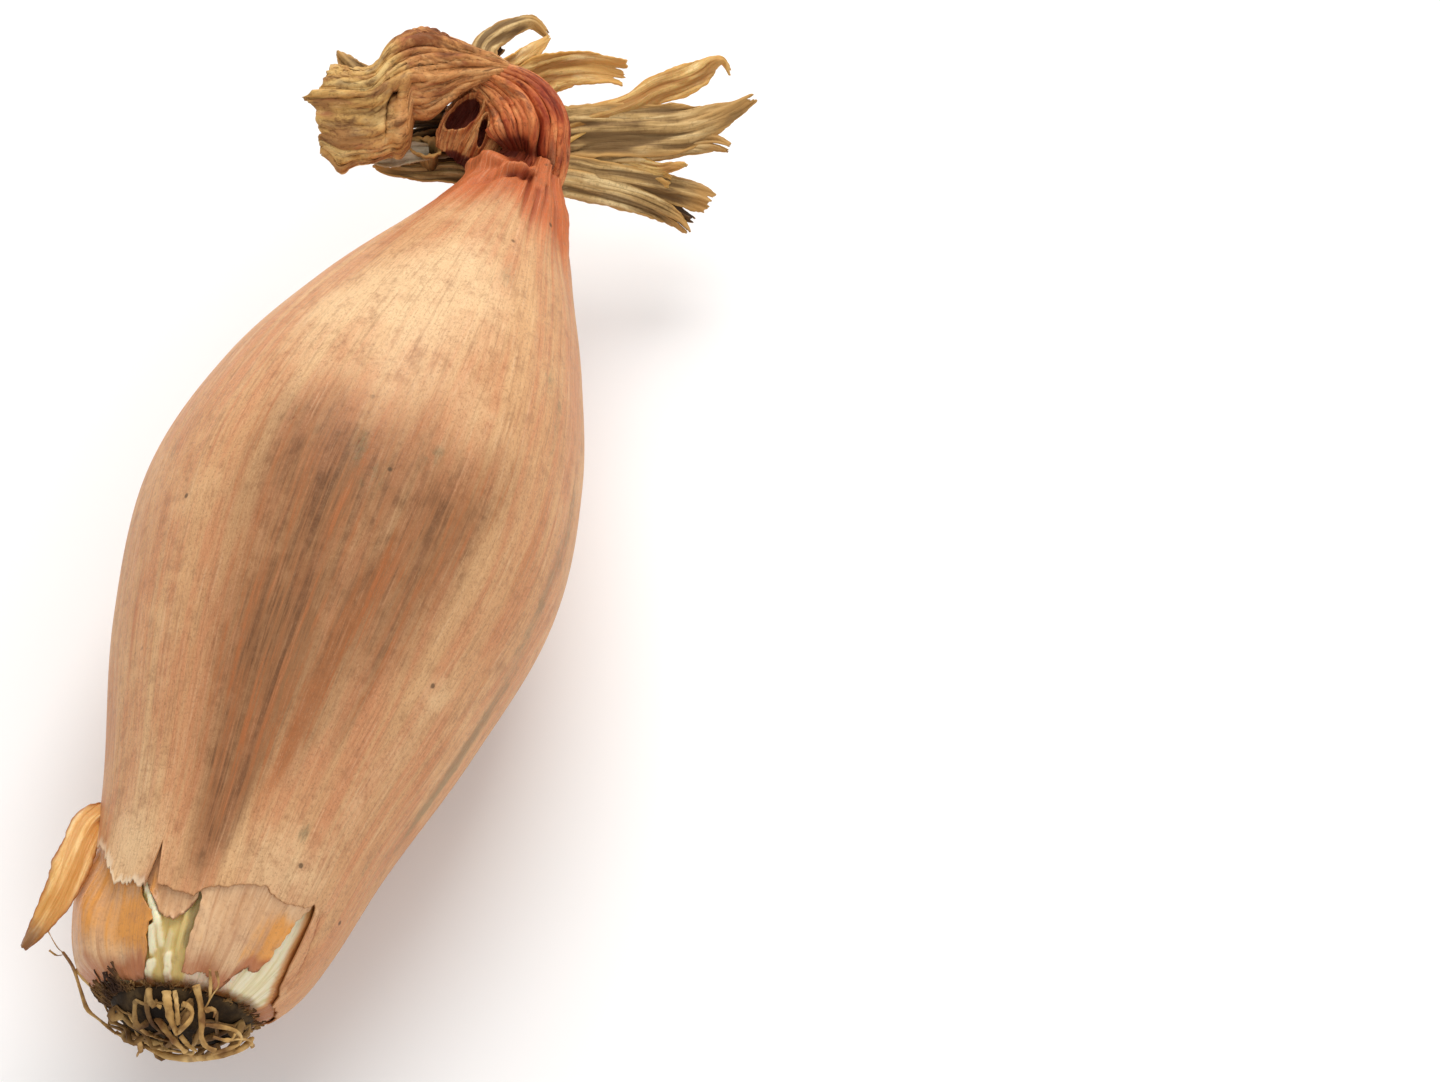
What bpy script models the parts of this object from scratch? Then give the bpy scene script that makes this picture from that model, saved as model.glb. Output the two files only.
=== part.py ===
"""A banana shallot lying on its side, built in metres with +Z up.

Stations are distances along the bulb's long axis, from the root end (-X) to the neck (+X). Angles turn round
that axis, from 0 at the top towards the right-hand side (-Y). The origin is the middle of the flat spot that
the shallot rests on.
"""

import math
import random

import bmesh
import bpy
from mathutils import Matrix, Vector

MM = 0.001
SKIN_GAP = 0.5 * MM            # between the bulb and the dry skin round it

# Outline of the outer skin: (station, radius), from the root end to the rim of the neck.
OUTLINE = [
    (1.8 * MM, 6.6 * MM),
    (3.0 * MM, 8.6 * MM),
    (6.0 * MM, 10.7 * MM),
    (11.0 * MM, 12.3 * MM),
    (22.0 * MM, 14.8 * MM),
    (38.0 * MM, 19.4 * MM),
    (54.0 * MM, 22.0 * MM),
    (68.0 * MM, 19.7 * MM),
    (80.0 * MM, 14.9 * MM),
    (91.0 * MM, 9.1 * MM),
    (97.5 * MM, 6.1 * MM),
    (102.5 * MM, 5.3 * MM),
]
ROOT_STATION = 1.8 * MM        # the bulb's root end, where the root plate sits
NECK_STATION = 102.5 * MM
ROOT_SLANT = 0.22              # how far the root end is slanted back on its right, for each unit across
SLANT_REACH = 18.0 * MM
RIM_DIP = 2.6 * MM             # how much lower the neck's rim is on its far side
RIM_DIP_ANGLE = math.radians(150)
BOW = 2.3 * MM                 # how far the axis bows to the left between its ends
OVAL = 0.022                   # share by which the section is wider than it is round
OVAL_ANGLE = math.radians(72)
FACET = 0.012                  # three shallow facets where the bulb grew against others
FACET_ANGLE = math.radians(20)
NECK_PLEATS = 9
NECK_PLEAT_DEPTH = 0.045       # share of the radius at the rim
PLEATS_START = 84.0 * MM

PITCH = math.radians(4.2)      # the neck end lies this much higher than the root end
REST_STATION = 51.0 * MM       # the flat spot is under this station, below the centre of mass
FLAT_DEPTH = 0.8 * MM          # how far the belly is pressed flat where it rests

SKIN = 0.7 * MM
SKIN_ROWS = 22
BULB_START = ROOT_STATION + 0.3 * MM
BULB_TOP = 96.8 * MM
BULB_COLUMNS = 34
BULB_ROWS = 28
SWELL = 1.9 * MM               # how far the second skin swells out where the outer one is gone
SWELL_ANGLES = (-96, -84, -64, -38)
SWELL_STATIONS = (1.8 * MM, 4.6 * MM)
SWELL_BELOW_EDGE = (1.5 * MM, 7.0 * MM)
CURL = 0.4 * MM                # how far the torn edge of the skin stands off the bulb
CURL_REACH = 4.0 * MM

# Torn edge of the outer skin at the root end: (angle in degrees, station), all the way round.
TORN_EDGE = [
    (-180, 6.5 * MM),
    (-160, 9.0 * MM),
    (-138, 5.5 * MM),
    (-118, 8.0 * MM),
    (-107, 7.0 * MM),
    (-102, 12.4 * MM),
    (-97, 18.0 * MM),
    (-77, 18.0 * MM),
    (-66, 10.0 * MM),
    (-50, 8.6 * MM),
    (-36, 8.4 * MM),
    (-30, 12.4 * MM),
    (-26, 8.6 * MM),
    (-8, 8.9 * MM),
    (8, 11.4 * MM),
    (28, 11.6 * MM),
    (46, 14.4 * MM),
    (50, 10.6 * MM),
    (54, 7.2 * MM),
    (60, 4.4 * MM),
    (75, 2.8 * MM),
    (100, 4.6 * MM),
    (128, 3.2 * MM),
    (150, 7.0 * MM),
    (180, 6.5 * MM),
]
WIDEST_COLUMN = 8.5            # degrees between two columns of the skin, at most

PLATE_RADIUS = 6.7 * MM
PLATE_DOME = 1.0 * MM
PLATE_SIDES = 22
ROOT_COUNT = 24
ROOT_SIDES = 5
ROOT_STEPS = 8
ROOT_RADII = (0.42 * MM, 0.62 * MM)
ROOT_LENGTHS = (8.0 * MM, 15.0 * MM)
ROOT_ZONE = 7.6 * MM           # roots turn back before they are this far from the axis
ROOT_NEAR = ROOT_STATION - 1.0 * MM
ROOT_FAR = ROOT_STATION - 2.7 * MM
STRAY_ROOTS = [
    [(-0.4, 4.0, -0.5), (-3.0, 7.6, 0.8), (-2.6, 10.6, 2.2), (-0.4, 12.8, 3.4), (1.8, 14.6, 3.6)],
    [(-0.6, 5.0, 1.5), (-3.2, 8.6, 2.6), (-2.6, 11.0, 3.6), (-0.8, 12.8, 4.4)],
    [(-0.6, 4.6, -3.6), (-3.4, 7.6, -4.8), (-3.2, 10.2, -3.8), (-1.8, 12.6, -2.6)],
]

# The dried leaf that leaves the neck, turns over to the left and hangs down beside it. Each point is
# (station, left, up) from the axis, followed by the half width and the half depth there, all in mm.
FOLDED_LEAF = [
    (98.2, 0.2, 1.8, 2.9, 1.2),
    (101.6, 0.2, 1.7, 2.7, 1.2),
    (103.8, 0.5, 1.7, 3.4, 1.5),
    (105.8, 1.6, 1.7, 4.4, 2.4),
    (107.9, 4.0, 2.1, 4.4, 2.5),
    (108.8, 7.8, 3.7, 4.8, 2.5),
    (107.2, 11.8, 5.6, 4.6, 2.6),
    (103.8, 15.4, 6.8, 4.6, 2.5),
    (100.8, 18.2, 6.8, 5.2, 2.0),
    (98.6, 20.4, 6.2, 5.8, 1.8),
]
LEAF_SIDES = 26
LEAF_STEPS = 24
LEAF_RIDGE = 0.16 * MM
LEAF_MOUTH = 3.0 * MM          # how deep the open end of the folded leaf is hollowed
LEAF_WALL = 0.75 * MM

# The blades that splay out from behind the neck: points as above, with the half width there, in mm.
BLADES = {
    "crown_curl": [
        (97.6, 1.2, -2.2, 1.2), (101.7, 0.8, -2.4, 1.3), (107.6, 3.4, -2.6, 1.5), (112.6, 6.6, -3.0, 1.6),
        (116.2, 8.0, -3.6, 1.4), (118.8, 7.0, -4.4, 1.0), (120.1, 5.2, -5.2, 0.7), (119.4, 3.2, -6.2, 0.3),
    ],
    "spike": [
        (97.6, 0.9, -2.3, 1.0), (102.4, 0.5, -2.6, 1.2), (108.2, 2.0, -3.0, 1.2), (113.4, 3.6, -3.6, 1.0),
        (118.6, 2.6, -4.6, 0.3),
    ],
    "amber": [
        (97.6, 0.6, -2.4, 1.3), (102.4, 0.5, -2.6, 1.5), (107.8, 1.2, -3.2, 1.9), (112.8, 1.0, -4.4, 2.3),
        (115.8, -1.2, -5.2, 2.3), (117.0, -3.8, -5.2, 2.0), (117.4, -6.2, -4.8, 1.3),
    ],
    "hook": [
        (97.6, 0.4, -2.3, 1.2), (102.1, 0.2, -2.7, 1.5), (106.8, -0.8, -3.9, 1.8), (111.6, -3.2, -5.6, 2.0),
        (115.8, -6.4, -6.8, 2.1), (119.6, -9.4, -7.2, 1.7), (122.8, -12.0, -7.0, 1.0), (123.6, -14.4, -8.2, 0.3),
    ],
    "broad": [
        (97.6, 0.2, -2.3, 1.6), (101.4, -0.1, -2.8, 2.0), (104.8, -1.0, -4.0, 2.6), (109.0, -3.4, -5.6, 3.0),
        (112.4, -7.2, -7.0, 3.0), (115.4, -11.4, -7.8, 2.9), (118.0, -15.4, -7.6, 2.2), (120.8, -18.8, -7.0, 0.4),
    ],
    "thin": [
        (97.6, 0.2, -2.4, 1.0), (101.7, -0.2, -2.9, 1.2), (105.6, -2.6, -5.6, 1.2), (109.0, -6.8, -8.2, 1.3),
        (110.8, -10.6, -9.4, 0.9), (112.4, -14.0, -9.2, 0.3),
    ],
    "round_end": [
        (97.6, 0.0, -2.4, 1.3), (101.2, -0.3, -3.0, 1.6), (104.0, -2.4, -5.2, 1.7), (106.8, -5.6, -7.6, 1.7),
        (108.8, -9.8, -9.8, 1.5), (110.0, -14.0, -11.2, 1.5), (110.8, -17.8, -11.8, 1.2),
    ],
    "low_point": [
        (97.6, -0.2, -2.4, 1.2), (100.9, -0.5, -3.0, 1.4), (103.0, -2.4, -5.4, 1.5), (105.0, -5.2, -8.0, 1.5),
        (106.8, -9.4, -10.4, 1.5), (107.6, -13.4, -12.2, 1.2), (107.4, -16.6, -13.2, 0.4),
    ],
    "left_tuft": [
        (97.6, 0.8, -2.3, 1.2), (101.5, 1.0, -2.8, 1.5), (104.4, 4.2, -3.2, 2.0), (104.2, 8.4, -3.2, 2.3),
        (101.7, 12.0, -2.2, 2.0), (99.3, 14.8, -0.8, 1.4), (97.8, 16.6, 0.2, 0.6),
    ],
    "left_shred": [
        (97.6, 0.6, -2.4, 1.0), (102.0, 1.2, -2.7, 1.3), (105.4, 4.8, -2.8, 1.4), (105.2, 9.2, -1.8, 1.5),
        (102.1, 12.6, -0.4, 1.2), (100.3, 15.0, 0.6, 0.5),
    ],
}
BLADE_THICKNESS = 0.7 * MM
BLADE_COLUMNS = 4
BLADE_STEPS = 10
BLADE_RIDGE = 0.14 * MM
BLADE_CUP = 0.35 * MM

# The strip of skin that has peeled outwards at the left of the root end, and its half widths, in mm.
FLAKE = [
    (15.8, 14.6, 1.6, 0.8), (13.6, 15.8, 3.6, 1.7), (10.7, 16.3, 4.8, 2.0), (7.6, 16.4, 5.0, 1.9),
    (4.8, 16.4, 4.8, 1.4), (2.4, 16.5, 4.4, 0.5),
]
FLAKE_CUP = 0.8 * MM

COLOURS = {
    "bulb": ((0.66, 0.42, 0.17), 0.5),
    "outer_skin": ((0.55, 0.29, 0.13), 0.45),
    "skin_flake": ((0.70, 0.38, 0.12), 0.45),
    "root_tuft": ((0.24, 0.12, 0.04), 0.85),
    "folded_leaf": ((0.38, 0.15, 0.045), 0.7),
    "straw_leaves": ((0.42, 0.24, 0.09), 0.75),
}


def clear_scene():
    for leftover in list(bpy.data.objects):
        bpy.data.objects.remove(leftover, do_unlink=True)


def share(value, start, end):
    """How far value has gone from start to end, eased, from 0 to 1."""
    t = min(1.0, max(0.0, (value - start) / (end - start)))
    return t * t * (3 - 2 * t)


def smooth_value(points, at):
    """Reads a smooth curve through points of (place, value)."""
    last = len(points) - 1
    if at <= points[0][0]:
        return points[0][1]
    if at >= points[last][0]:
        return points[last][1]
    slopes = []
    for i in range(last + 1):
        before, after = points[max(i - 1, 0)], points[min(i + 1, last)]
        slopes.append((after[1] - before[1]) / (after[0] - before[0]))
    i = max(k for k in range(last) if points[k][0] <= at)
    width = points[i + 1][0] - points[i][0]
    t = (at - points[i][0]) / width
    rise = points[i + 1][1] - points[i][1]
    start, end = slopes[i] * width, slopes[i + 1] * width
    return points[i][1] + t * (start + t * ((3 * rise - 2 * start - end) + t * (start + end - 2 * rise)))


def straight_value(points, at):
    """Reads a line of straight stretches through points of (place, value)."""
    for (a, low), (b, high) in zip(points, points[1:]):
        if at <= b:
            return low + (high - low) * (at - a) / (b - a)
    return points[-1][1]


def smooth_path(points, steps):
    """Reads steps + 1 rows from a Catmull-Rom curve through rows of numbers, evenly by their index."""
    rows = []
    last = len(points) - 1
    for k in range(steps + 1):
        place = k * last / steps
        i = min(int(place), last - 1)
        t = place - i
        p = [points[min(max(i + j, 0), last)] for j in (-1, 0, 1, 2)]
        rows.append([
            0.5 * (2 * b + t * (c - a + t * (2 * a - 5 * b + 4 * c - d + t * (3 * b - a - 3 * c + d))))
            for a, b, c, d in zip(*p)
        ])
    return rows


def section_radius(station, angle):
    """Radius of the outer skin's surface, before it is flattened where it rests."""
    body = share(station, 0.0, 20 * MM) * (1 - share(station, PLEATS_START, NECK_STATION))
    neck = share(station, PLEATS_START, NECK_STATION)
    shape = 1 + body * (OVAL * math.cos(2 * (angle - OVAL_ANGLE)) + FACET * math.cos(3 * (angle - FACET_ANGLE)))
    shape += neck * NECK_PLEAT_DEPTH * math.cos(NECK_PLEATS * angle)
    return smooth_value(OUTLINE, station) * shape


def axis_point(station):
    """A point on the bulb's bowed axis, before the bulb is laid down."""
    return Vector((station, BOW * math.sin(math.pi * station / NECK_STATION), 0.0))


def slanted(point):
    """Slants what is near the root end, so that its left side reaches furthest."""
    lean = ROOT_SLANT * point.y * (1 - share(point.x, 0.0, SLANT_REACH))
    return Vector((point.x - lean, point.y, point.z))


def unlaid_point(station, angle, lift):
    radius = section_radius(station, angle) + lift
    return slanted(axis_point(station) + radius * Vector((0.0, -math.sin(angle), math.cos(angle))))


LAY = Matrix.Rotation(-PITCH, 4, "Y") @ Matrix.Translation(-axis_point(REST_STATION))


def lowest_height():
    """The lowest height that the laid skin would reach if nothing flattened it."""
    stations = [40 * MM + k * 0.5 * MM for k in range(50)]
    angles = [math.radians(150 + k * 2) for k in range(31)]
    return min((LAY @ unlaid_point(s, a, 0.0)).z for s in stations for a in angles)


FLOOR = lowest_height() + FLAT_DEPTH


def lay(point):
    """Takes a point from the bulb's own axis to the frame in which it lies on its flat spot."""
    laid = LAY @ point
    laid.z -= FLOOR
    return laid


def surface_point(station, angle, lift=0.0):
    """A point on the laid bulb, lift above the outer skin. It is flattened where the shallot rests."""
    point = lay(unlaid_point(station, angle, lift))
    point.z = max(point.z, -min(lift, 0.0))
    return point


def beside_axis(station, left, up):
    """A laid point that is given in mm as its station and its distances left of and above the axis."""
    return lay(Vector((station * MM, left * MM, up * MM)))


def finish(name, mesh_maker):
    """Makes one named object from a bmesh, with its material and smooth shading."""
    bmesh.ops.recalc_face_normals(mesh_maker, faces=mesh_maker.faces)
    mesh = bpy.data.meshes.new(name)
    mesh_maker.to_mesh(mesh)
    mesh_maker.free()
    mesh.shade_smooth()
    mesh.set_sharp_from_angle(angle=math.radians(50))
    thing = bpy.data.objects.new(name, mesh)
    bpy.context.scene.collection.objects.link(thing)
    return thing


def paint(thing, name):
    colour, roughness = COLOURS[name]
    material = bpy.data.materials.new(name)
    material.use_nodes = True
    shader = material.node_tree.nodes["Principled BSDF"]
    shader.inputs["Base Color"].default_value = (*colour, 1.0)
    shader.inputs["Roughness"].default_value = roughness
    shader.inputs["Metallic"].default_value = 0.0
    thing.data.materials.clear()
    thing.data.materials.append(material)


def tube_solid(name, rings):
    """A closed solid through rings of points, with a cap at each end."""
    maker = bmesh.new()
    made = [[maker.verts.new(p) for p in ring] for ring in rings]
    count = len(made[0])
    for a, b in zip(made, made[1:]):
        for j in range(count):
            k = (j + 1) % count
            maker.faces.new((a[j], a[k], b[j]))
            maker.faces.new((a[k], b[k], b[j]))
    for ring in (made[0], made[-1]):
        middle = maker.verts.new(sum((v.co for v in ring), Vector()) / count)
        for j in range(count):
            maker.faces.new((ring[j], ring[(j + 1) % count], middle))
    return finish(name, maker)


def sheet_solid(name, front, back, wrapped):
    """A closed solid between two like grids of points, with both faces split into triangles alike."""
    maker = bmesh.new()
    sides = [[[maker.verts.new(p) for p in row] for row in grid] for grid in (front, back)]
    rows, columns = len(front), len(front[0])
    for side in sides:
        for i in range(rows - 1):
            for j in range(columns if wrapped else columns - 1):
                k = (j + 1) % columns
                maker.faces.new((side[i][j], side[i][k], side[i + 1][j]))
                maker.faces.new((side[i][k], side[i + 1][k], side[i + 1][j]))
    edges = [[(i, j) for j in range(columns)] + ([(i, 0)] if wrapped else []) for i in (0, rows - 1)]
    if not wrapped:
        edges += [[(i, j) for i in range(rows)] for j in (0, columns - 1)]
    for edge in edges:
        for (i, j), (m, n) in zip(edge, edge[1:]):
            maker.faces.new((sides[0][i][j], sides[0][m][n], sides[1][i][j]))
            maker.faces.new((sides[0][m][n], sides[1][m][n], sides[1][i][j]))
    return finish(name, maker)


def keep_main_shell(thing):
    """Fills sealed hollows and drops loose scraps: only the shell with the most faces is kept."""
    maker = bmesh.new()
    maker.from_mesh(thing.data)
    shells, waiting = [], set(maker.faces)
    while waiting:
        shell, edge_of_shell = set(), [waiting.pop()]
        while edge_of_shell:
            face = edge_of_shell.pop()
            shell.add(face)
            for edge in face.edges:
                for other in edge.link_faces:
                    if other in waiting:
                        waiting.remove(other)
                        edge_of_shell.append(other)
        shells.append(shell)
    main = max(shells, key=len)
    spare = [face for shell in shells if shell is not main for face in shell]
    bmesh.ops.delete(maker, geom=spare, context="FACES")
    bmesh.ops.triangulate(maker, faces=maker.faces)
    maker.to_mesh(thing.data)
    maker.free()


def join_into(base, others):
    """Joins every other object into base by one Boolean union on their collection."""
    pile = bpy.data.collections.new(base.name + "_pile")
    bpy.context.scene.collection.children.link(pile)
    for other in others:
        bpy.context.scene.collection.objects.unlink(other)
        pile.objects.link(other)
    union = base.modifiers.new("union", "BOOLEAN")
    union.operation = "UNION"
    union.operand_type = "COLLECTION"
    union.collection = pile
    union.solver = "MANIFOLD"  # EXACT leaves some of the thin, crossing roots apart
    bpy.context.view_layer.objects.active = base
    bpy.ops.object.modifier_apply(modifier=union.name)
    for other in others:
        bpy.data.objects.remove(other, do_unlink=True)
    bpy.data.collections.remove(pile)
    keep_main_shell(base)


def bulb_lift(station, angle):
    """Height of the bulb's own surface above the dry skin's: it swells out where the skin is torn away."""
    degrees = (math.degrees(angle) + 180) % 360 - 180
    below_edge = straight_value(TORN_EDGE, degrees) - station
    swell = share(degrees, *SWELL_ANGLES[:2]) * (1 - share(degrees, *SWELL_ANGLES[2:]))
    swell *= share(station, *SWELL_STATIONS) * share(below_edge, *SWELL_BELOW_EDGE)
    return swell * SWELL - (SKIN + SKIN_GAP)


def make_bulb():
    """The fleshy bulb: one solid under the dry skin, from the root plate to inside the neck."""
    rings = []
    for i in range(BULB_ROWS + 1):
        # Rows crowd towards the root end, where the outline turns fastest.
        station = BULB_START + (BULB_TOP - BULB_START) * (i / BULB_ROWS) ** 1.35
        rings.append([
            surface_point(station, angle, bulb_lift(station, angle))
            for angle in (2 * math.pi * j / BULB_COLUMNS for j in range(BULB_COLUMNS))
        ])
    paint(tube_solid("bulb", rings), "bulb")


def skin_angles():
    """Column angles of the skin: every corner of the torn edge, with more between corners that are far apart."""
    angles = []
    for (a, _), (b, _) in zip(TORN_EDGE, TORN_EDGE[1:]):
        parts = math.ceil((b - a) / WIDEST_COLUMN)
        angles += [a + (b - a) * k / parts for k in range(parts)]
    return angles


def rim_station(angle):
    """The neck's rim, which is lowest below and to the right, where the dry blades lean out."""
    return NECK_STATION - RIM_DIP * (0.5 + 0.5 * math.cos(angle - RIM_DIP_ANGLE))


def make_outer_skin():
    """The papery skin: a thin shell that is torn open at the root end and open at the rim of the neck."""
    front, back = [], []
    for i in range(SKIN_ROWS + 1):
        outer, inner = [], []
        for degrees in skin_angles():
            angle = math.radians(degrees)
            edge = straight_value(TORN_EDGE, degrees)
            rim = rim_station(angle)
            station = edge + (rim - edge) * i / SKIN_ROWS
            lift = CURL * (1 - share(station, edge, edge + CURL_REACH))
            outer.append(surface_point(station, angle, lift))
            inner.append(surface_point(station, angle, lift - SKIN))
        front.append(outer)
        back.append(inner)
    paint(sheet_solid("outer_skin", front, back, wrapped=True), "outer_skin")


def blade_frames(rows, facing):
    """Tangent, side and normal at each row of a blade whose flat face looks towards facing."""
    points = [beside_axis(*row[:3]) for row in rows]
    frames = []
    for i, point in enumerate(points):
        tangent = (points[min(i + 1, len(points) - 1)] - points[max(i - 1, 0)]).normalized()
        side = tangent.cross(facing).normalized()
        frames.append((point, tangent, side, side.cross(tangent).normalized()))
    return frames


def blade_solid(name, path, facing, cup, ridge, steps=BLADE_STEPS, columns=BLADE_COLUMNS):
    """A thin, ribbed and slightly cupped blade along a path of (station, left, up, half width)."""
    rows = smooth_path(path, steps)
    front, back = [], []
    for row, (point, _, side, normal) in zip(rows, blade_frames(rows, facing)):
        half_width = max(row[3], 0.25) * MM
        above, below = [], []
        for j in range(columns + 1):
            across = 2 * j / columns - 1
            height = cup * (1 - across * across) + ridge * (1 if j % 2 else -1)
            middle = point + side * (across * half_width) + normal * height
            above.append(middle + normal * BLADE_THICKNESS / 2)
            below.append(middle - normal * BLADE_THICKNESS / 2)
        front.append(above)
        back.append(below)
    return sheet_solid(name, front, back, wrapped=False)


def make_skin_flake():
    """The strip of dry skin that has peeled outwards at the left of the root end."""
    flake = blade_solid("skin_flake", FLAKE, Vector((0.0, 0.45, 0.9)), FLAKE_CUP, 0.0, steps=12, columns=6)
    paint(flake, "skin_flake")


def make_straw_leaves():
    """The dried blades that come out of the neck behind the folded leaf, joined where they leave it."""
    facing = Vector((-0.4, -0.15, 0.9))
    blades = [
        blade_solid(name, path, facing, BLADE_CUP, BLADE_RIDGE)
        for name, path in BLADES.items()
    ]
    bundle = blades[0]
    bundle.name = bundle.data.name = "straw_leaves"
    join_into(bundle, blades[1:])
    paint(bundle, "straw_leaves")


def make_folded_leaf():
    """The dried leaf sheath that folds over to the left of the neck and ends in an open mouth."""
    rows = smooth_path(FOLDED_LEAF, LEAF_STEPS)
    frames = blade_frames(rows, Vector((0.1, -0.1, 1.0)))

    def ring(row, frame, inset, back):
        point, tangent, side, normal = frame
        made = []
        for j in range(LEAF_SIDES):
            turn = 2 * math.pi * j / LEAF_SIDES
            ridge = LEAF_RIDGE * (1 if j % 2 else -1) - inset
            made.append(
                point - tangent * back
                + side * math.cos(turn) * (row[3] * MM + ridge)
                + normal * math.sin(turn) * (row[4] * MM + ridge)
            )
        return made

    rings = [ring(row, frame, 0.0, 0.0) for row, frame in zip(rows, frames)]
    rings.append(ring(rows[-1], frames[-1], LEAF_WALL, 0.0))
    rings.append(ring(rows[-1], frames[-1], LEAF_WALL, LEAF_MOUTH))
    paint(tube_solid("folded_leaf", rings), "folded_leaf")


def root_tube(name, points, thickness):
    """A root: a thin tube along its points, which tapers towards its tip."""
    rings = []
    for i, point in enumerate(points):
        tangent = (points[min(i + 1, len(points) - 1)] - points[max(i - 1, 0)]).normalized()
        side = tangent.cross(Vector((0.31, 0.59, 0.74))).normalized()
        other = tangent.cross(side)
        radius = thickness * (1 - 0.55 * i / (len(points) - 1))
        rings.append([
            point + radius * (side * math.cos(turn) + other * math.sin(turn))
            for turn in (2 * math.pi * j / ROOT_SIDES for j in range(ROOT_SIDES))
        ])
    return tube_solid(name, rings)


def root_walk(chance, index):
    """The points of one curling root. It starts inside the plate, grows outwards and stays off the bulb."""
    turn = index * math.pi * (3 - math.sqrt(5))
    reach = PLATE_RADIUS * 0.9 * math.sqrt((index + 0.5) / ROOT_COUNT)
    radial = Vector((0.0, -math.sin(turn), math.cos(turn)))
    dome = PLATE_DOME * (1 - (reach / PLATE_RADIUS) ** 2)
    point = axis_point(ROOT_STATION) + radial * reach + Vector((-0.3 * MM - 0.5 * dome, 0.0, 0.0))
    heading = (radial * (0.3 + reach / PLATE_RADIUS) + Vector((-1.0, 0.0, 0.0))).normalized()
    bend_axis = Vector([chance.uniform(-1, 1) for _ in range(3)]).normalized()
    bend = chance.uniform(0.2, 0.5)
    step = chance.uniform(*ROOT_LENGTHS) / ROOT_STEPS
    points = [lay(slanted(point))]
    for _ in range(ROOT_STEPS):
        heading.rotate(Matrix.Rotation(bend, 3, bend_axis))
        heading += Vector([chance.uniform(-0.15, 0.15) for _ in range(3)])
        around = Vector((0.0, point.y, point.z))
        if around.length > ROOT_ZONE:
            heading -= around.normalized() * 0.9
        if point.x > ROOT_NEAR:
            heading.x -= 0.7
        if point.x < ROOT_FAR:
            heading.x += 0.8
        heading.normalize()
        point = point + heading * step
        point.x = min(point.x, ROOT_NEAR)
        points.append(lay(slanted(point)))
    return points


def make_root_tuft():
    """The woody root plate and the dried roots that grow from it, as one solid."""
    rings = []
    for share_out, depth in ((1.0, 0.0), (1.0, 0.25), (0.86, 0.55), (0.6, 0.82), (0.3, 0.96)):
        radius = PLATE_RADIUS * share_out
        rings.append([
            lay(slanted(axis_point(ROOT_STATION - 0.1 * MM) + Vector((
                -PLATE_DOME * depth, -radius * math.sin(turn), radius * math.cos(turn),
            ))))
            for turn in (2 * math.pi * j / PLATE_SIDES for j in range(PLATE_SIDES))
        ])
    plate = tube_solid("root_tuft", rings)
    chance = random.Random(7)
    roots = [
        root_tube("root", root_walk(chance, index), chance.uniform(*ROOT_RADII))
        for index in range(ROOT_COUNT)
    ]
    for stray in STRAY_ROOTS:
        points = [beside_axis(*row) for row in smooth_path(stray, ROOT_STEPS)]
        roots.append(root_tube("stray_root", points, ROOT_RADII[0]))
    join_into(plate, roots)
    paint(plate, "root_tuft")


clear_scene()
make_bulb()
make_outer_skin()
make_skin_flake()
make_root_tuft()
make_folded_leaf()
make_straw_leaves()
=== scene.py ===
# %% [markdown]
# # A dried banana shallot
#
# This lesson dresses a shallot that lies on its side. The solids that carry it are already packed, so every
# piece here is made in their frame and in metres: X runs along the bulb from the root end to the neck, and Z
# points up. Skins and leaves are flat grids that a short rule bends into place, because they all follow the
# bulb's own curves, and a rule is easier to correct than a sculpt. Only the roots are drawn as curves.

import math
import random

import bpy
from mathutils import Matrix, Vector, noise


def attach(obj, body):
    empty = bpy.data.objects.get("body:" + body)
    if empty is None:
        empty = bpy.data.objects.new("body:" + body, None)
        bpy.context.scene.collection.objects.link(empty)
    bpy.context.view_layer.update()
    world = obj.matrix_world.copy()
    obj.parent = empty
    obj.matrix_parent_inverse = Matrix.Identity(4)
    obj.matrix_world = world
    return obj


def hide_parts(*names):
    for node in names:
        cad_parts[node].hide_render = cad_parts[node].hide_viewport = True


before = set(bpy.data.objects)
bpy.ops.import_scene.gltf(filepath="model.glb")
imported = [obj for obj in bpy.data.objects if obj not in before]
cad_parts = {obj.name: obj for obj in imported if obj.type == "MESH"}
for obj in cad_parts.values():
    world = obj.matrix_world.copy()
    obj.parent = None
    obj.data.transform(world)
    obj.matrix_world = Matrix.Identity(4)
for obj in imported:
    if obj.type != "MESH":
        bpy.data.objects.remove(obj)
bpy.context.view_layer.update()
print("solids:", ", ".join(sorted(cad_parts)))

# %% [markdown]
# ## The form that everything follows
#
# A bulb is a turned shape with a bent axis. Its outline gives a radius at each station along the axis, and an
# angle says where round the axis a point lies: 0 is on top and it grows towards the right-hand side. The
# skins, the flesh and the torn edges are all placed by these two numbers and a lift above the skin.

# %% The bulb's driving sizes
MM = 0.001
OUTLINE = [  # (station, radius) of the dry skin
    (1.8 * MM, 6.6 * MM), (3.0 * MM, 8.6 * MM), (6.0 * MM, 10.7 * MM), (11.0 * MM, 12.3 * MM),
    (22.0 * MM, 14.8 * MM), (38.0 * MM, 19.4 * MM), (54.0 * MM, 22.0 * MM), (68.0 * MM, 19.7 * MM),
    (80.0 * MM, 14.9 * MM), (91.0 * MM, 9.1 * MM), (97.5 * MM, 6.1 * MM), (102.5 * MM, 5.3 * MM),
]
ROOT_STATION = 1.8 * MM
NECK_STATION = 102.5 * MM
ROOT_SLANT = 0.22
SLANT_REACH = 18.0 * MM
BOW = 2.3 * MM
OVAL = 0.022
OVAL_ANGLE = math.radians(72)
FACET = 0.012
FACET_ANGLE = math.radians(20)
NECK_PLEATS = 9
NECK_PLEAT_DEPTH = 0.045
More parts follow.
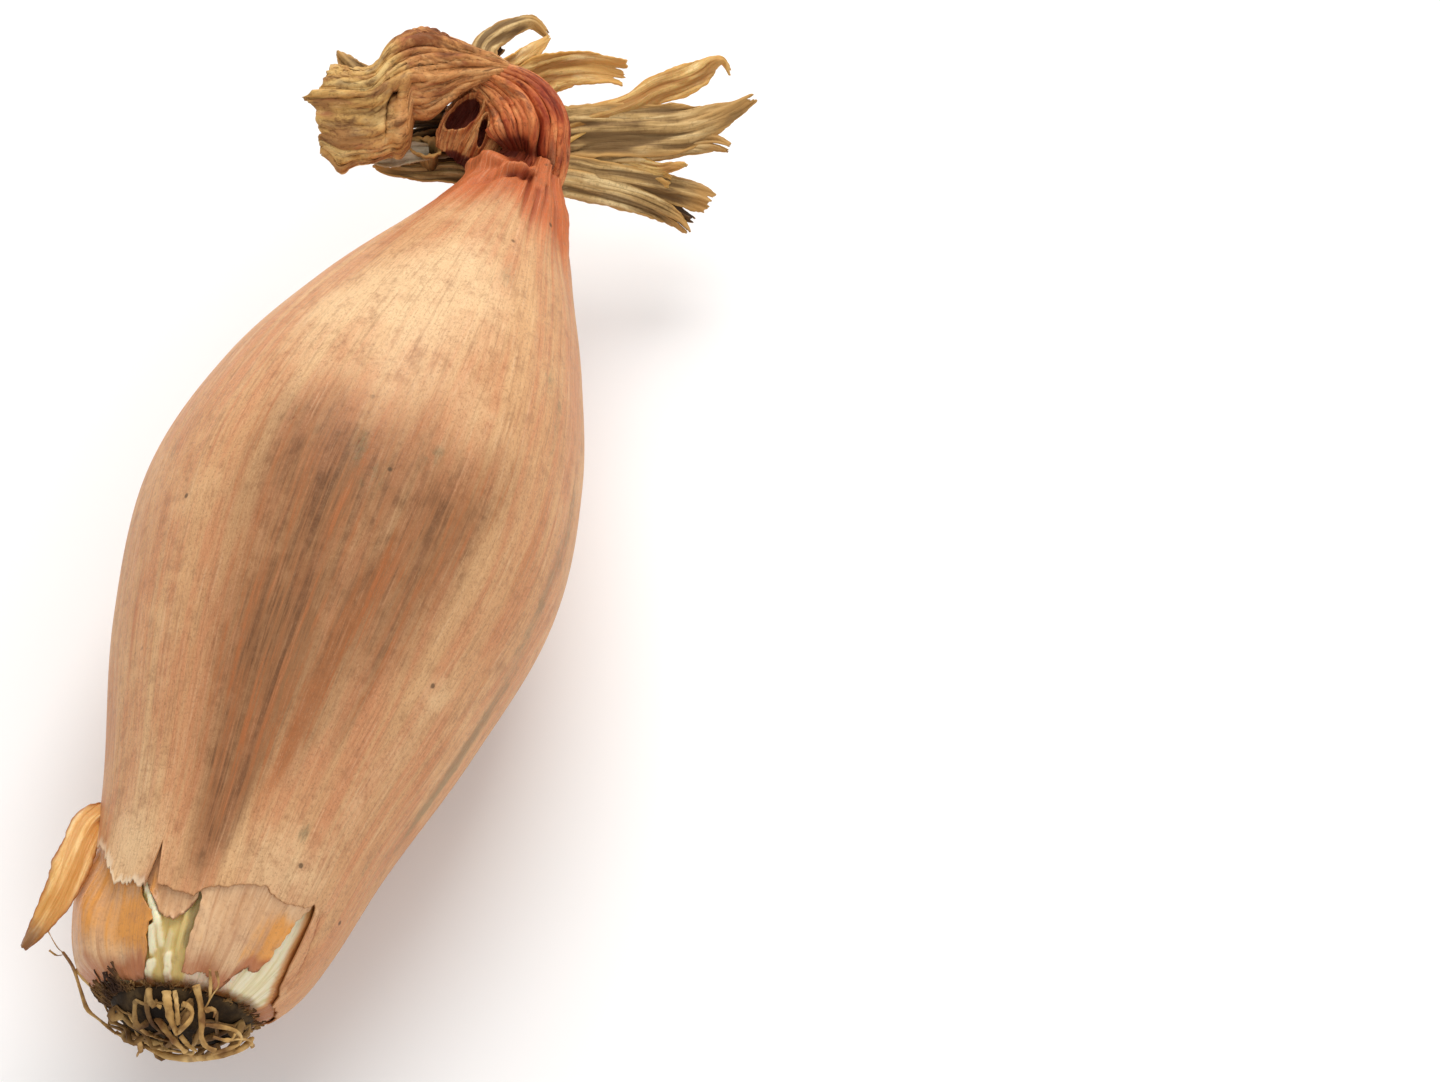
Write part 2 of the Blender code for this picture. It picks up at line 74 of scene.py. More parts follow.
PLEATS_START = 84.0 * MM
RIM_DIP = 2.6 * MM
RIM_DIP_ANGLE = math.radians(150)
PITCH = math.radians(4.2)
REST_STATION = 51.0 * MM
FLAT_DEPTH = 0.8 * MM


# %% Reading curves
def share(value, start, end):
    """How far value has gone from start to end, eased, from 0 to 1."""
    t = min(1.0, max(0.0, (value - start) / (end - start)))
    return t * t * (3 - 2 * t)


def window(value, *ends):
    """Rises from 0 to 1 between the first two ends, and falls to 0 again between the last two."""
    return share(value, *ends[:2]) * (1 - share(value, *ends[2:]))


def hill(value, middle, width):
    """A round hill that is 1 high over its middle."""
    return math.exp(-((value - middle) / width) ** 2)


def wrapped(degrees):
    """The same direction as an angle from -180 to 180 degrees."""
    return (degrees + 180) % 360 - 180


def ring(angle, along=0.0):
    """A point on a circle of radius 1: noise that is read there has no seam."""
    return Vector((math.cos(angle), math.sin(angle), along))


def from_line(here, line):
    """How far here lies from the straight line between 0 and line, and its share of the way along it."""
    t = min(1.0, max(0.0, here.dot(line) / line.length_squared))
    return (here - line * t).length, t


def smooth_path(points, steps):
    """Reads steps + 1 rows from a Catmull-Rom curve through rows of numbers, evenly by their index."""
    rows = []
    last = len(points) - 1
    for k in range(steps + 1):
        place = k * last / steps
        i = min(int(place), last - 1)
        t = place - i
        p = [points[min(max(i + j, 0), last)] for j in (-1, 0, 1, 2)]
        rows.append([
            0.5 * (2 * b + t * (c - a + t * (2 * a - 5 * b + 4 * c - d + t * (3 * b - a - 3 * c + d))))
            for a, b, c, d in zip(*p)
        ])
    return rows


def smooth_value(points, at):
    """Reads a smooth curve through points of (place, value)."""
    last = len(points) - 1
    if at <= points[0][0]:
        return points[0][1]
    if at >= points[last][0]:
        return points[last][1]
    slopes = []
    for i in range(last + 1):
        before, after = points[max(i - 1, 0)], points[min(i + 1, last)]
        slopes.append((after[1] - before[1]) / (after[0] - before[0]))
    i = max(k for k in range(last) if points[k][0] <= at)
    width = points[i + 1][0] - points[i][0]
    t = (at - points[i][0]) / width
    rise = points[i + 1][1] - points[i][1]
    start, end = slopes[i] * width, slopes[i + 1] * width
    return points[i][1] + t * (start + t * ((3 * rise - 2 * start - end) + t * (start + end - 2 * rise)))


def straight_value(points, at):
    """Reads a line of straight stretches through points of (place, value)."""
    if at <= points[0][0]:
        return points[0][1]
    for (a, low), (b, high) in zip(points, points[1:]):
        if at <= b:
            return low + (high - low) * (at - a) / (b - a)
    return points[-1][1]


def noise_1d(at, seed):
    return noise.noise(Vector((at, seed * 7.31, seed * 3.17)))


def folds(point, seed=0):
    """Sharp ridges with round valleys: 0 on a crest and about -1 in the deepest valley."""
    return -min(1.0, 2.2 * abs(noise.noise(point + Vector((seed, seed * 1.7, 0.0)))))


# %% Placing points on the bulb
def axis_point(station):
    return Vector((station, BOW * math.sin(math.pi * station / NECK_STATION), 0.0))


LAY = Matrix.Rotation(-PITCH, 4, "Y") @ Matrix.Translation(-axis_point(REST_STATION))
RADII_STEP = 0.1 * MM
RADII_COUNT = 1100
RADII = [smooth_value(OUTLINE, k * RADII_STEP) for k in range(RADII_COUNT)]     # read only once


def section_radius(station, angle):
    place = min(max(station / RADII_STEP, 0.0), RADII_COUNT - 2.0)
    k = int(place)
    radius = RADII[k] + (RADII[k + 1] - RADII[k]) * (place - k)
    neck = share(station, PLEATS_START, NECK_STATION)
    body = share(station, 0.0, 20 * MM) * (1 - neck)
    shape = 1 + body * (
        OVAL * math.cos(2 * (angle - OVAL_ANGLE)) + FACET * math.cos(3 * (angle - FACET_ANGLE))
    )
    shape += neck * NECK_PLEAT_DEPTH * math.cos(NECK_PLEATS * angle)
    return radius * shape


def unlaid_point(station, angle, lift):
    radius = section_radius(station, angle) + lift
    point = axis_point(station) + radius * Vector((0.0, -math.sin(angle), math.cos(angle)))
    point.x -= ROOT_SLANT * point.y * (1 - share(point.x, 0.0, SLANT_REACH))
    return point


FLOOR = FLAT_DEPTH + min(
    (LAY @ unlaid_point(40 * MM + k * 0.5 * MM, math.radians(150 + m * 2), 0.0)).z
    for k in range(50) for m in range(31)
)


def lay(point):
    """Takes a point from the bulb's own axis to the frame in which it lies on its flat spot."""
    laid = LAY @ point
    laid.z -= FLOOR
    return laid


def surface_point(station, angle, lift=0.0):
    point = lay(unlaid_point(station, angle, lift))
    point.z = max(point.z, -min(lift, 0.0))
    return point


def beside_axis(station, left, up):
    """A laid point that is given in mm as its station and its distances left of and above the axis."""
    return lay(Vector((station * MM, left * MM, up * MM)))


print("belly:", round(2 * section_radius(54 * MM, 0.0) / MM, 1), "mm across; floor at", round(FLOOR / MM, 2))

# %% [markdown]
# ## The camera
#
# The shallot lies down, and the camera looks down on it from the neck's left, so that the root end is nearest.
# It stands a little to the right of the bulb, which puts the bulb in the left half of the picture. It is made
# first, so that each new piece can be looked at as soon as it is there.

# %% Camera
VIEW_TURN = math.radians(-161.84)    # the direction from the bulb to the camera, seen from above
VIEW_HEIGHT = math.radians(61.49)
VIEW_ROLL = math.radians(1.08)
VIEW_DISTANCE = 0.4912
VIEW_SLIDE = (0.03656, 0.00375)      # how far the camera stands right of and above the bulb
LENS = 120.0

back = Vector((
    math.cos(VIEW_HEIGHT) * math.cos(VIEW_TURN), math.cos(VIEW_HEIGHT) * math.sin(VIEW_TURN),
    math.sin(VIEW_HEIGHT),
))
right = Vector((0.0, 0.0, 1.0)).cross(back).normalized()
right.rotate(Matrix.Rotation(VIEW_ROLL, 3, back))
up = back.cross(right)
middle = (beside_axis(0.0, 0.0, 0.0) + beside_axis(102.5, 0.0, 0.0)) / 2
bpy.ops.object.camera_add(
    location=middle + back * VIEW_DISTANCE + right * VIEW_SLIDE[0] + up * VIEW_SLIDE[1],
    rotation=Matrix((right, up, back)).transposed().to_euler(),
)
camera = bpy.context.active_object
camera.name = "camera"
camera.data.lens = LENS
camera.data.clip_start = 0.01
camera.data.clip_end = 10.0
bpy.context.scene.camera = camera
print("camera stands", round(camera.location.z, 3), "m above the floor")

# %% [markdown]
# ## From flat grid to bent sheet
#
# Skins and leaves are sheets, so each starts as Blender's own grid primitive. One helper bends it by a rule,
# gives it a UV map in the sheet's own measure, and stores soft masks on its points for the materials. Another
# one gives the sheet its thickness with a Solidify modifier, which closes it.


# %% Helpers for sheets
def deselect_all():
    for thing in bpy.context.selected_objects:
        thing.select_set(False)


def make_sheet(name, across, along, place, uv_at, masks=None):
    """Bends a grid: place(u, v) gives each point, and uv_at(u, v) its place in the sheet's own measure."""
    deselect_all()
    bpy.ops.mesh.primitive_grid_add(x_subdivisions=across, y_subdivisions=along, size=1.0)
    sheet = bpy.context.active_object
    sheet.name = sheet.data.name = name
    flat = [(vertex.co.x + 0.5, vertex.co.y + 0.5) for vertex in sheet.data.vertices]
    layer = sheet.data.uv_layers.active.data
    for loop in sheet.data.loops:
        layer[loop.index].uv = uv_at(*flat[loop.vertex_index])
    for mask, value_at in (masks or {}).items():
        values = sheet.data.attributes.new(mask, "FLOAT", "POINT").data
        for k, (u, v) in enumerate(flat):
            values[k].value = value_at(u, v)
    for vertex, (u, v) in zip(sheet.data.vertices, flat):
        vertex.co = place(u, v)
    return sheet


def select_only(piece):
    deselect_all()
    piece.select_set(True)
    bpy.context.view_layer.objects.active = piece


def close_seam(sheet):
    """Merges the points that meet where the sheet is rolled up, and at its poles."""
    select_only(sheet)
    bpy.ops.object.mode_set(mode="EDIT")
    bpy.ops.mesh.select_all(action="SELECT")
    bpy.ops.mesh.remove_doubles(threshold=0.00001)
    bpy.ops.object.mode_set(mode="OBJECT")


def thicken(sheet, thickness, offset=-1.0):
    """Gives a sheet its thickness, which closes it all round."""
    select_only(sheet)
    wall = sheet.modifiers.new("wall", "SOLIDIFY")
    wall.thickness = thickness
    wall.offset = offset
    wall.use_even_offset = False
    bpy.ops.object.modifier_apply(modifier=wall.name)


def settle(piece, material, slot, *nodes):
    """Finishes a piece: smooth shading, its material, its body and the solids that it stands for. slot is not
    used.
    """
    select_only(piece)
    bpy.ops.object.shade_smooth()
    piece.data.materials.clear()
    piece.data.materials.append(material)
    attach(piece, "root")
    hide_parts(*nodes)
    print(f"{piece.name}: {len(piece.data.polygons)} faces")


# %% [markdown]
# ## A small kit for materials
#
# Every finish here is a stack of procedural layers: broad bands of colour, fibres, grain and specks. The same
# few nodes come back in each, so they get short names.


# %% Shader helpers
class Finish:
    """A material and short ways to add nodes to it. Each way returns the socket that holds the result."""

    def __init__(self, name, roughness, **fixed):
        self.material = bpy.data.materials.new(name)
        self.material.use_nodes = True
        self.nodes = self.material.node_tree.nodes
        self.links = self.material.node_tree.links
        self.shader = self.nodes["Principled BSDF"]
        self.shader.inputs["Roughness"].default_value = roughness
        for socket, value in fixed.items():
            self.shader.inputs[socket.replace("_", " ")].default_value = value

    def add(self, kind, output, settings=None, **inputs):
        node = self.nodes.new(kind)
        for key, value in (settings or {}).items():
            setattr(node, key, value)
        for key, value in inputs.items():
            socket = node.inputs[int(key[1:])] if key[1:].isdigit() else node.inputs[key.replace("_", " ")]
            if isinstance(value, bpy.types.NodeSocket):
                self.links.new(value, socket)
            else:
                socket.default_value = value
        return node.outputs[output]

    def math(self, operation, a, b=0.0):
        return self.add("ShaderNodeMath", 0, {"operation": operation}, i0=a, i1=b)

    def times(self, a, b):
        return self.math("MULTIPLY", a, b)

    def plus(self, total, *others):
        for other in others:
            total = self.math("ADD", total, other)
        return total

    def centred(self, value, amount=1.0):
        """Noise about 0, and amount from its lowest to its highest."""
        return self.times(self.math("SUBTRACT", value, 0.5), amount)

    def uv(self):
        return self.add("ShaderNodeUVMap", "UV")

    def place(self):
        return self.add("ShaderNodeTexCoord", "Object")

    def mask(self, name):
        return self.add("ShaderNodeAttribute", "Fac", {"attribute_name": name})

    def stretched(self, vector, scales):
        return self.add("ShaderNodeMapping", 0, Vector=vector, Scale=scales)

    def noise(self, vector, scale=1.0, detail=2.0, rough=0.5, distortion=0.0):
        return self.add(
            "ShaderNodeTexNoise", 0, Vector=vector, Scale=scale, Detail=detail, Roughness=rough,
            Distortion=distortion,
        )

    def fade(self, value, start, end, low=0.0, high=1.0):
        """Maps value from start..end to low..high, eased, and holds it outside."""
        return self.add(
            "ShaderNodeMapRange", 0, {"interpolation_type": "SMOOTHSTEP"}, Value=value, i1=start, i2=end,
            i3=low, i4=high,
        )

    def ramp(self, value, *stops):
        node = self.nodes.new("ShaderNodeValToRGB")
        self.links.new(value, node.inputs[0])
        elements = node.color_ramp.elements
        while len(elements) < len(stops):
            elements.new(0.5)
        for element, (place, colour) in zip(elements, stops):
            element.position = place
            element.color = (*colour, 1.0)
        return node.outputs[0]

    def mix(self, amount, a, b):
        node = self.nodes.new("ShaderNodeMix")
        node.data_type = "RGBA"
        for k, value in ((0, amount), (6, a), (7, b)):
            if isinstance(value, bpy.types.NodeSocket):
                self.links.new(value, node.inputs[k])
            else:
                node.inputs[k].default_value = value if k == 0 else (*value, 1.0)
        return node.outputs[2]

    def tint(self, colour, value, start, end, amount, other):
        """Colour turns into its share of the other colour as value goes from start to end."""
        return self.mix(self.fade(value, start, end, 0.0, amount), colour, other)

    def cylinder(self, around, along):
        """UV of (turns, station in mm) as a point on a cylinder: around is its radius, along its scale."""
        uv = self.add("ShaderNodeSeparateXYZ", 0, Vector=self.uv())
        node = uv.node
        turn = self.times(node.outputs[0], 2 * math.pi)
        return self.add(
            "ShaderNodeCombineXYZ", 0,
            X=self.times(self.math("COSINE", turn), around),
            Y=self.times(self.math("SINE", turn), around),
            Z=self.times(node.outputs[1], along),
        )

    def finish(self, colour, height, relief, roughness=None):
        """Joins colour and bump to the shader. relief is how deep a height of 1 is, in metres."""
        self.links.new(colour, self.shader.inputs["Base Color"])
        bump = self.add("ShaderNodeBump", 0, Strength=1.0, Distance=relief, Height=height)
        self.links.new(bump, self.shader.inputs["Normal"])
        if roughness is not None:
            self.links.new(roughness, self.shader.inputs["Roughness"])
        return self.material


# %% [markdown]
# ## The papery skin's finish
#
# A shallot's outer skin is a tan to salmon parchment. Fine veins run from root to neck, darker where damp or
# soil has stained the belly, golden and pale on the shoulder, and red where it gathers at the neck. The
# shoulder's pale gold is partly a painted highlight. The broad patches are masks on the mesh, and fibres break
# them up, so that a stain ends in streaks and not in a soft edge.

# %% Where the skin is stained, pale or red
# Each patch: station in mm, angle in degrees, half its length in mm, half its width in degrees, strength.
STAINS = [
    (54, 6, 6, 22, 0.42), (46, 0, 9, 15, 0.58), (46, 27, 9, 15, 0.46), (37, 0, 9, 13, 0.62),
    (37, 24, 9, 12, 0.38), (28, 2, 8, 11, 0.80), (27, 22, 7, 8, 0.30), (20, 0, 6, 9, 0.76),
    (14, 0, 4, 8, 0.44), (59, 46, 6, 12, 0.36), (60, -12, 5, 14, 0.22), (63, 20, 6, 14, 0.20),
    (45, -16, 9, 11, 0.20), (33, -14, 10, 10, 0.22), (22, -10, 8, 8, 0.24), (54, 28, 6, 15, 0.28),
    (50, 38, 9, 10, 0.28), (58, 4, 5, 24, 0.22), (55, -14, 8, 12, 0.26), (42, -24, 12, 9, 0.16),
    (26, -20, 9, 7, 0.16), (42, 42, 8, 10, 0.24), (50, 4, 6, 4, 0.30), (35, 10, 9, 3, 0.30),
    (24, 9, 8, 3, 0.40), (57, -52, 3, 4, 0.40), (34, 33, 9, 3, 0.30), (45, 140, 16, 18, 0.45),
    (30, -150, 12, 12, 0.30), (62, -130, 10, 9, 0.30),
]
RUSTS = [
    (46, 22, 5, 3, 0.70), (39, 20, 6, 3, 1.0), (33, 19, 6, 3, 1.0), (27, 18, 6, 3, 0.90),
    (20, 14, 5, 3, 0.60), (40, -56, 20, 3, 0.40), (38, -44, 16, 2.5, 0.35), (30, -32, 14, 3, 0.30),
    (57, 62, 12, 4, 0.55), (44, 68, 12, 4, 0.50), (30, 74, 10, 4, 0.40), (30, 100, 20, 8, 0.40),
    (40, -120, 20, 8, 0.40), (50, 84, 14, 3, 0.45), (66, 74, 10, 5, 0.35), (86, -36, 6, 10, 0.50),
    (84, -14, 4, 5, 0.25),
]
# Golden patches: real golden tone, and on the shoulder (stations 61 to 82) also a painted highlight.
GOLDS_AND_HIGHLIGHTS = [
    (77, -14, 8, 16, 0.75), (73, 6, 8, 16, 0.85), (82, 8, 6, 14, 0.75), (70, -26, 7, 12, 0.60),
    (79, 26, 6, 7, 0.45), (64, 30, 7, 9, 0.45), (61, -18, 6, 9, 0.40), (63, 8, 4, 12, 0.30),
    (14, 34, 5, 22, 0.75), (14, -42, 5, 18, 0.65), (24, 50, 9, 6, 0.45), (24, -40, 9, 10, 0.45),
    (36, 56, 8, 5, 0.35), (60, 170, 16, 24, 0.40),
]
OLIVES = [
    (19.5, 36, 1.2, 2.2, 0.80), (21, 72, 3.0, 4, 0.45), (55, 76, 5, 3, 0.50), (48, 79, 6, 3, 0.50),
    (40, 84, 8, 3, 0.60), (28, 88, 6, 4, 0.50), (83, 28, 2.2, 5, 0.40), (74, 54, 3, 4, 0.45),
    (70, 60, 6, 3, 0.45), (54, -56, 2.0, 2.5, 0.50), (62, 80, 7, 3, 0.60), (34, 86, 9, 3, 0.60),
    (53, 12, 3, 9, 0.35), (58, 24, 3, 8, 0.35), (57, -4, 3, 6, 0.30), (57.5, -15, 1.6, 2.5, 0.45),
    (56, 5, 1.8, 2.6, 0.55), (52, -9, 2.4, 2.2, 0.30), (50, 200, 6, 8, 0.50),
]


def patch_mask(patches):
    def value_at(u, v):
        station, degrees = skin_station(u, v) / MM, skin_degrees(u)
        total = 0.0
        for middle_station, middle_angle, length, width, strength in patches:
            turn = wrapped(degrees - middle_angle)
            total += strength * math.exp(-((station - middle_station) / length) ** 2 - (turn / width) ** 2)
        return min(1.0, total)
    return value_at


# %% The skin's material
TAN = (0.64, 0.345, 0.160)
SALMON = (0.62, 0.270, 0.122)
PEACH = (0.74, 0.43, 0.205)
CREAM_AND_HIGHLIGHT = (0.83, 0.57, 0.310)
BROWN = (0.205, 0.072, 0.021)
SOIL = (0.075, 0.030, 0.011)
RUST = (0.47, 0.150, 0.046)
OLIVE = (0.20, 0.155, 0.075)
BLUSH = (0.55, 0.120, 0.028)
SHADE = (0.26, 0.115, 0.050)
PALE = (0.86, 0.60, 0.365)


def papery_finish(name, roughness=0.46):
    finish = Finish(name, roughness, Specular_IOR_Level=0.22)
    bands = finish.noise(finish.cylinder(5.0, 0.020), detail=3.0, rough=0.55)
    veins = finish.noise(finish.cylinder(17.0, 0.050), detail=3.0, rough=0.6, distortion=0.15)
    fibres = finish.noise(finish.cylinder(58.0, 0.14), detail=3.0, rough=0.65, distortion=0.2)
    dashes = finish.noise(finish.cylinder(165.0, 2.2), detail=3.0, rough=0.7)
    grain = finish.noise(finish.place(), scale=3600.0, detail=2.0, rough=0.7)
    clouds = finish.noise(finish.place(), scale=95.0, detail=5.0, rough=0.65)
    mottle = finish.noise(finish.place(), scale=520.0, detail=4.0, rough=0.75)

    colour = finish.ramp(bands, (0.32, SALMON), (0.44, TAN), (0.52, SALMON), (0.60, TAN), (0.70, PEACH))
    colour = finish.tint(colour, clouds, 0.46, 0.72, 0.6, PEACH)
    # The gold mask turns the skin cream: partly real golden patches, partly a painted highlight on the
    # shoulder.
    gold_and_highlight = finish.plus(
        finish.mask("gold_and_highlight"), finish.centred(veins, 0.5), finish.centred(clouds, 1.2),
        finish.centred(mottle, 0.7),
    )
    colour = finish.tint(colour, gold_and_highlight, 0.0, 1.1, 0.82, CREAM_AND_HIGHLIGHT)

    streaks = finish.plus(finish.centred(veins, 1.0), finish.centred(fibres, 0.6))
    rust = finish.plus(finish.mask("rust"), finish.times(streaks, 1.8))
    colour = finish.tint(colour, rust, 0.20, 1.0, 0.75, RUST)
    stain = finish.plus(
        finish.mask("stain"), finish.times(streaks, 1.1), finish.centred(clouds, 1.1),
        finish.centred(mottle, 1.1),
    )
    stain = finish.times(finish.fade(stain, 0.0, 1.20), finish.fade(finish.mask("stain"), 0.0, 0.42))
    colour = finish.mix(finish.times(stain, 0.80), colour, BROWN)
    threads = finish.plus(veins, finish.centred(fibres, 0.8))
    deep = finish.times(finish.fade(threads, 0.54, 0.34), stain)
    colour = finish.mix(finish.times(deep, 0.75), colour, SOIL)
    warm = finish.times(finish.fade(threads, 0.52, 0.70), stain)
    colour = finish.mix(finish.times(warm, 0.50), colour, RUST)
    olive = finish.plus(finish.mask("olive"), finish.centred(fibres, 1.4), finish.centred(mottle, 1.6))
    olive = finish.times(finish.fade(olive, 0.2, 0.8), finish.fade(finish.mask("olive"), 0.04, 0.4))
    colour = finish.mix(finish.times(olive, 0.65), colour, OLIVE)
    blush = finish.plus(finish.mask("blush"), finish.times(streaks, 0.9))
    colour = finish.tint(colour, blush, 0.05, 0.85, 0.92, BLUSH)

    bright = finish.math("SUBTRACT", 1.0, finish.times(stain, 0.75))        # stains hide the pale fibres
    colour = finish.tint(colour, fibres, 0.50, 0.30, 0.34, SHADE)
    colour = finish.mix(finish.times(finish.fade(fibres, 0.54, 0.74, 0.0, 0.34), bright), colour, PALE)
    colour = finish.tint(colour, dashes, 0.50, 0.28, 0.36, SHADE)
    colour = finish.mix(finish.times(finish.fade(dashes, 0.54, 0.74, 0.0, 0.26), bright), colour, PALE)
    colour = finish.tint(colour, grain, 0.5, 0.28, 0.40, SHADE)
    colour = finish.tint(colour, mottle, 0.52, 0.28, 0.36, SHADE)
    specks = finish.add("ShaderNodeTexVoronoi", 0, Vector=finish.place(), Scale=300.0, Randomness=1.0)
    rare = finish.noise(finish.place(), scale=120.0, detail=1.0)
    dots = finish.times(finish.fade(specks, 0.11, 0.05), finish.fade(rare, 0.59, 0.66))
    colour = finish.mix(finish.times(dots, 0.75), colour, (0.06, 0.035, 0.014))
    # Painted shade: the neck's folds, the hollow behind the lip and the cracks are darkened by their depth.
    colour = finish.tint(colour, finish.mask("shaded_crease"), 0.32, 1.1, 0.8, (0.20, 0.020, 0.006))
    colour = finish.mix(finish.mask("edge"), colour, (0.42, 0.18, 0.065))
    colour = finish.mix(finish.times(finish.mask("frayed"), 0.60), colour, (0.84, 0.68, 0.48))

    height = finish.plus(
        finish.times(veins, 0.8), finish.times(fibres, 0.35), finish.times(dashes, 0.16),
        finish.times(mottle, 0.55), finish.times(grain, 0.10),
    )
    gloss = finish.fade(grain, 0.3, 0.7, roughness - 0.04, roughness + 0.14)
    return finish.finish(colour, height, 0.14 * MM, gloss)


skin_finish = papery_finish("papery_skin")
print("skin finish:", len(skin_finish.node_tree.nodes), "nodes")

# %% [markdown]
# ## The papery skin
#
# The outermost skin is one thin sheet round the bulb. At the root end it has torn away along a ragged line,
# with one notch on top and a long slit down to the root on the right. At the neck it gathers in pleats. Its
# front edge there rolls outwards in a lip, with a hollow behind it that is darkened with painted shade, while
# its right side follows the collar. A rolled grid takes all of this as a rule, where a sculpt would lose the
# veins' even flow.

# %% The torn edge and the rim
# Angle in degrees and station in mm of the torn edge, all the way round.
TORN_EDGE = [
    (-180, 6.5), (-160, 9.0), (-138, 5.5), (-124, 4.0), (-112, 4.2), (-106, 6.0), (-102, 11.0),
    (-99, 16.0), (-96, 18.2), (-92, 16.9), (-88, 17.4), (-84, 16.4), (-78, 15.6), (-74, 15.6), (-70, 14.4),
    (-66, 14.0), (-60, 13.2), (-54, 12.4), (-48, 11.0), (-44, 10.5), (-34, 10.5), (-28, 10.0),
    (-24.5, 10.1), (-22.5, 11.4), (-21.0, 14.3), (-20.2, 13.9), (-19.6, 10.3), (-14, 10.4), (-10, 10.0),
    (-6, 9.9), (0, 9.9), (4, 10.8), (12, 11.5), (22, 12.4), (30, 12.9), (34, 12.6), (37, 12.2), (43, 12.4),
    (52, 12.9), (56, 13.9), (57.5, 13.2), (58.5, 11.0), (60, 8.6), (62, 6.6), (68, 4.6), (80, 3.0),
    (96, 3.0), (110, 3.4), (128, 3.2), (150, 7.0), (180, 6.5),
]
FRAYED = (-84, -68, -27, -23)      # angles between which the torn edge is frayed, at the left


def frayed(degrees):
    return window(degrees, *FRAYED)


def torn_station(degrees):
    jag = 0.20 * noise_1d(degrees * 0.22, 1) + 0.22 * noise_1d(degrees * 0.9, 2)
    jag += 0.75 * frayed(degrees) * noise_1d(degrees * 0.55, 4)
    return (straight_value(TORN_EDGE, degrees) + jag) * MM


def rim_station(angle):
    return NECK_STATION - RIM_DIP * (0.5 + 0.5 * math.cos(angle - RIM_DIP_ANGLE))


CROWDING = 0.12         # how far the rows of the grid crowd towards its two ends, where the fine folds are
TOP_CROWDING = 0.45     # how much the grid's columns crowd towards the top, where the tears are


def skin_degrees(u, crowding=TOP_CROWDING):
    return 360 * (u + crowding * math.sin(2 * math.pi * u) / (2 * math.pi)) - 180


def skin_station(u, v):
    degrees = skin_degrees(u)
    edge = torn_station(degrees)
    crowded = v - CROWDING * math.sin(2 * math.pi * v)
    return edge + (rim_station(math.radians(degrees)) - edge) * crowded


def skin_waves(station, degrees):
    """Soft waves of the skins, in mm."""
    angle = math.radians(degrees)
    around = ring(angle)
    waves = 0.16 * noise.noise(around * 3.1 + Vector((0, 0, station / (26 * MM))))
    return waves + 0.05 * noise.noise(around * 11.0 + Vector((0, 0, station / (16 * MM))))


def lip_window(degrees):
    """1 where the rim rolls outwards, in front, and 0 where it follows the collar."""
    return window(degrees, -118, -84, 8, 30)


LIP_STATION = 99.5 * MM


def lip_station(degrees):
    """The lip's crest dips towards the bulb in front of the collar."""
    return LIP_STATION - 1.2 * MM * hill(degrees, -4, 22)


# The folds under the lip: station and angle of each end, width in mm and depth in mm.
LIP_FOLDS = [
    ((98.2, 14), (97.3, -2), 0.55, 1.2), ((97.6, 2), (95.0, -34), 0.40, 0.55),
    ((99.0, -6), (97.2, -40), 0.40, 0.40), ((98.6, 22), (92.0, 26), 0.45, 0.9),
    ((97.0, 34), (88.0, 33), 0.40, 0.5), ((99.5, 12), (93.5, 12), 0.40, 0.6),
    ((95.5, 4), (90.0, -6), 0.40, 0.30), ((98.0, 44), (90.0, 40), 0.40, 0.5),
]


def from_stretch(station, degrees, radius, start, end, wander=0.0):
    """How far a place on the skin lies from a straight stretch of it, in mm, and how far along it."""
    return from_line(
        Vector((station - start[0], math.radians(degrees - start[1]) * radius + wander)),
        Vector((end[0] - start[0], math.radians(end[1] - start[1]) * radius)),
    )


def lip_folds(station, degrees):
    """Folds at set places, in mm: each is a groove along a straight stretch from one end to the other."""
    depth = 0.0
    radius = section_radius(station, 0.0) / MM
    for start, end, width, deep in LIP_FOLDS:
        away, t = from_stretch(station / MM, degrees, radius, start, end)
        depth += deep * hill(away, 0.0, width) * (1 - 0.6 * t)
    return -depth


# Fine cracks of the dry skin: station and angle of each end.
CRACKS = [
    ((12.8, 63), (4.9, 75)), ((13.0, 61), (13.8, 66)), ((57.9, -17), (56.6, -14)),
    ((56.9, 4.6), (55.4, 5.6)),
]
CRACK_WIDTH = 0.20


def crack_depth(station, degrees):
    """1 in the middle of a crack and 0 beside it."""
    depth = 0.0
    radius = section_radius(station, 0.0) / MM
    wander = 0.25 * noise_1d(station / MM * 1.3, 8)
    for start, end in CRACKS:
        away = from_stretch(station / MM, degrees, radius, start, end, wander)[0]
        depth = max(depth, hill(away, 0.0, CRACK_WIDTH))
    return depth


def neck_creases(station, degrees):
    """Sharp folds of the gathered neck, in mm. They run along it, and stop short of the smooth lip."""
    angle = math.radians(degrees)
    around = ring(angle)
    pleats = 0.70 * folds(around * 2.6 + Vector((5, 0, station / (22 * MM))))
    pleats += 0.34 * folds(around * 7.0 + Vector((0, 5, station / (12 * MM))))
    on_lip = lip_window(degrees) * share(station, 93 * MM, 97.5 * MM)
    return pleats * share(station, 84 * MM, 99 * MM) * (1 - 0.85 * on_lip) + lip_folds(station, degrees)


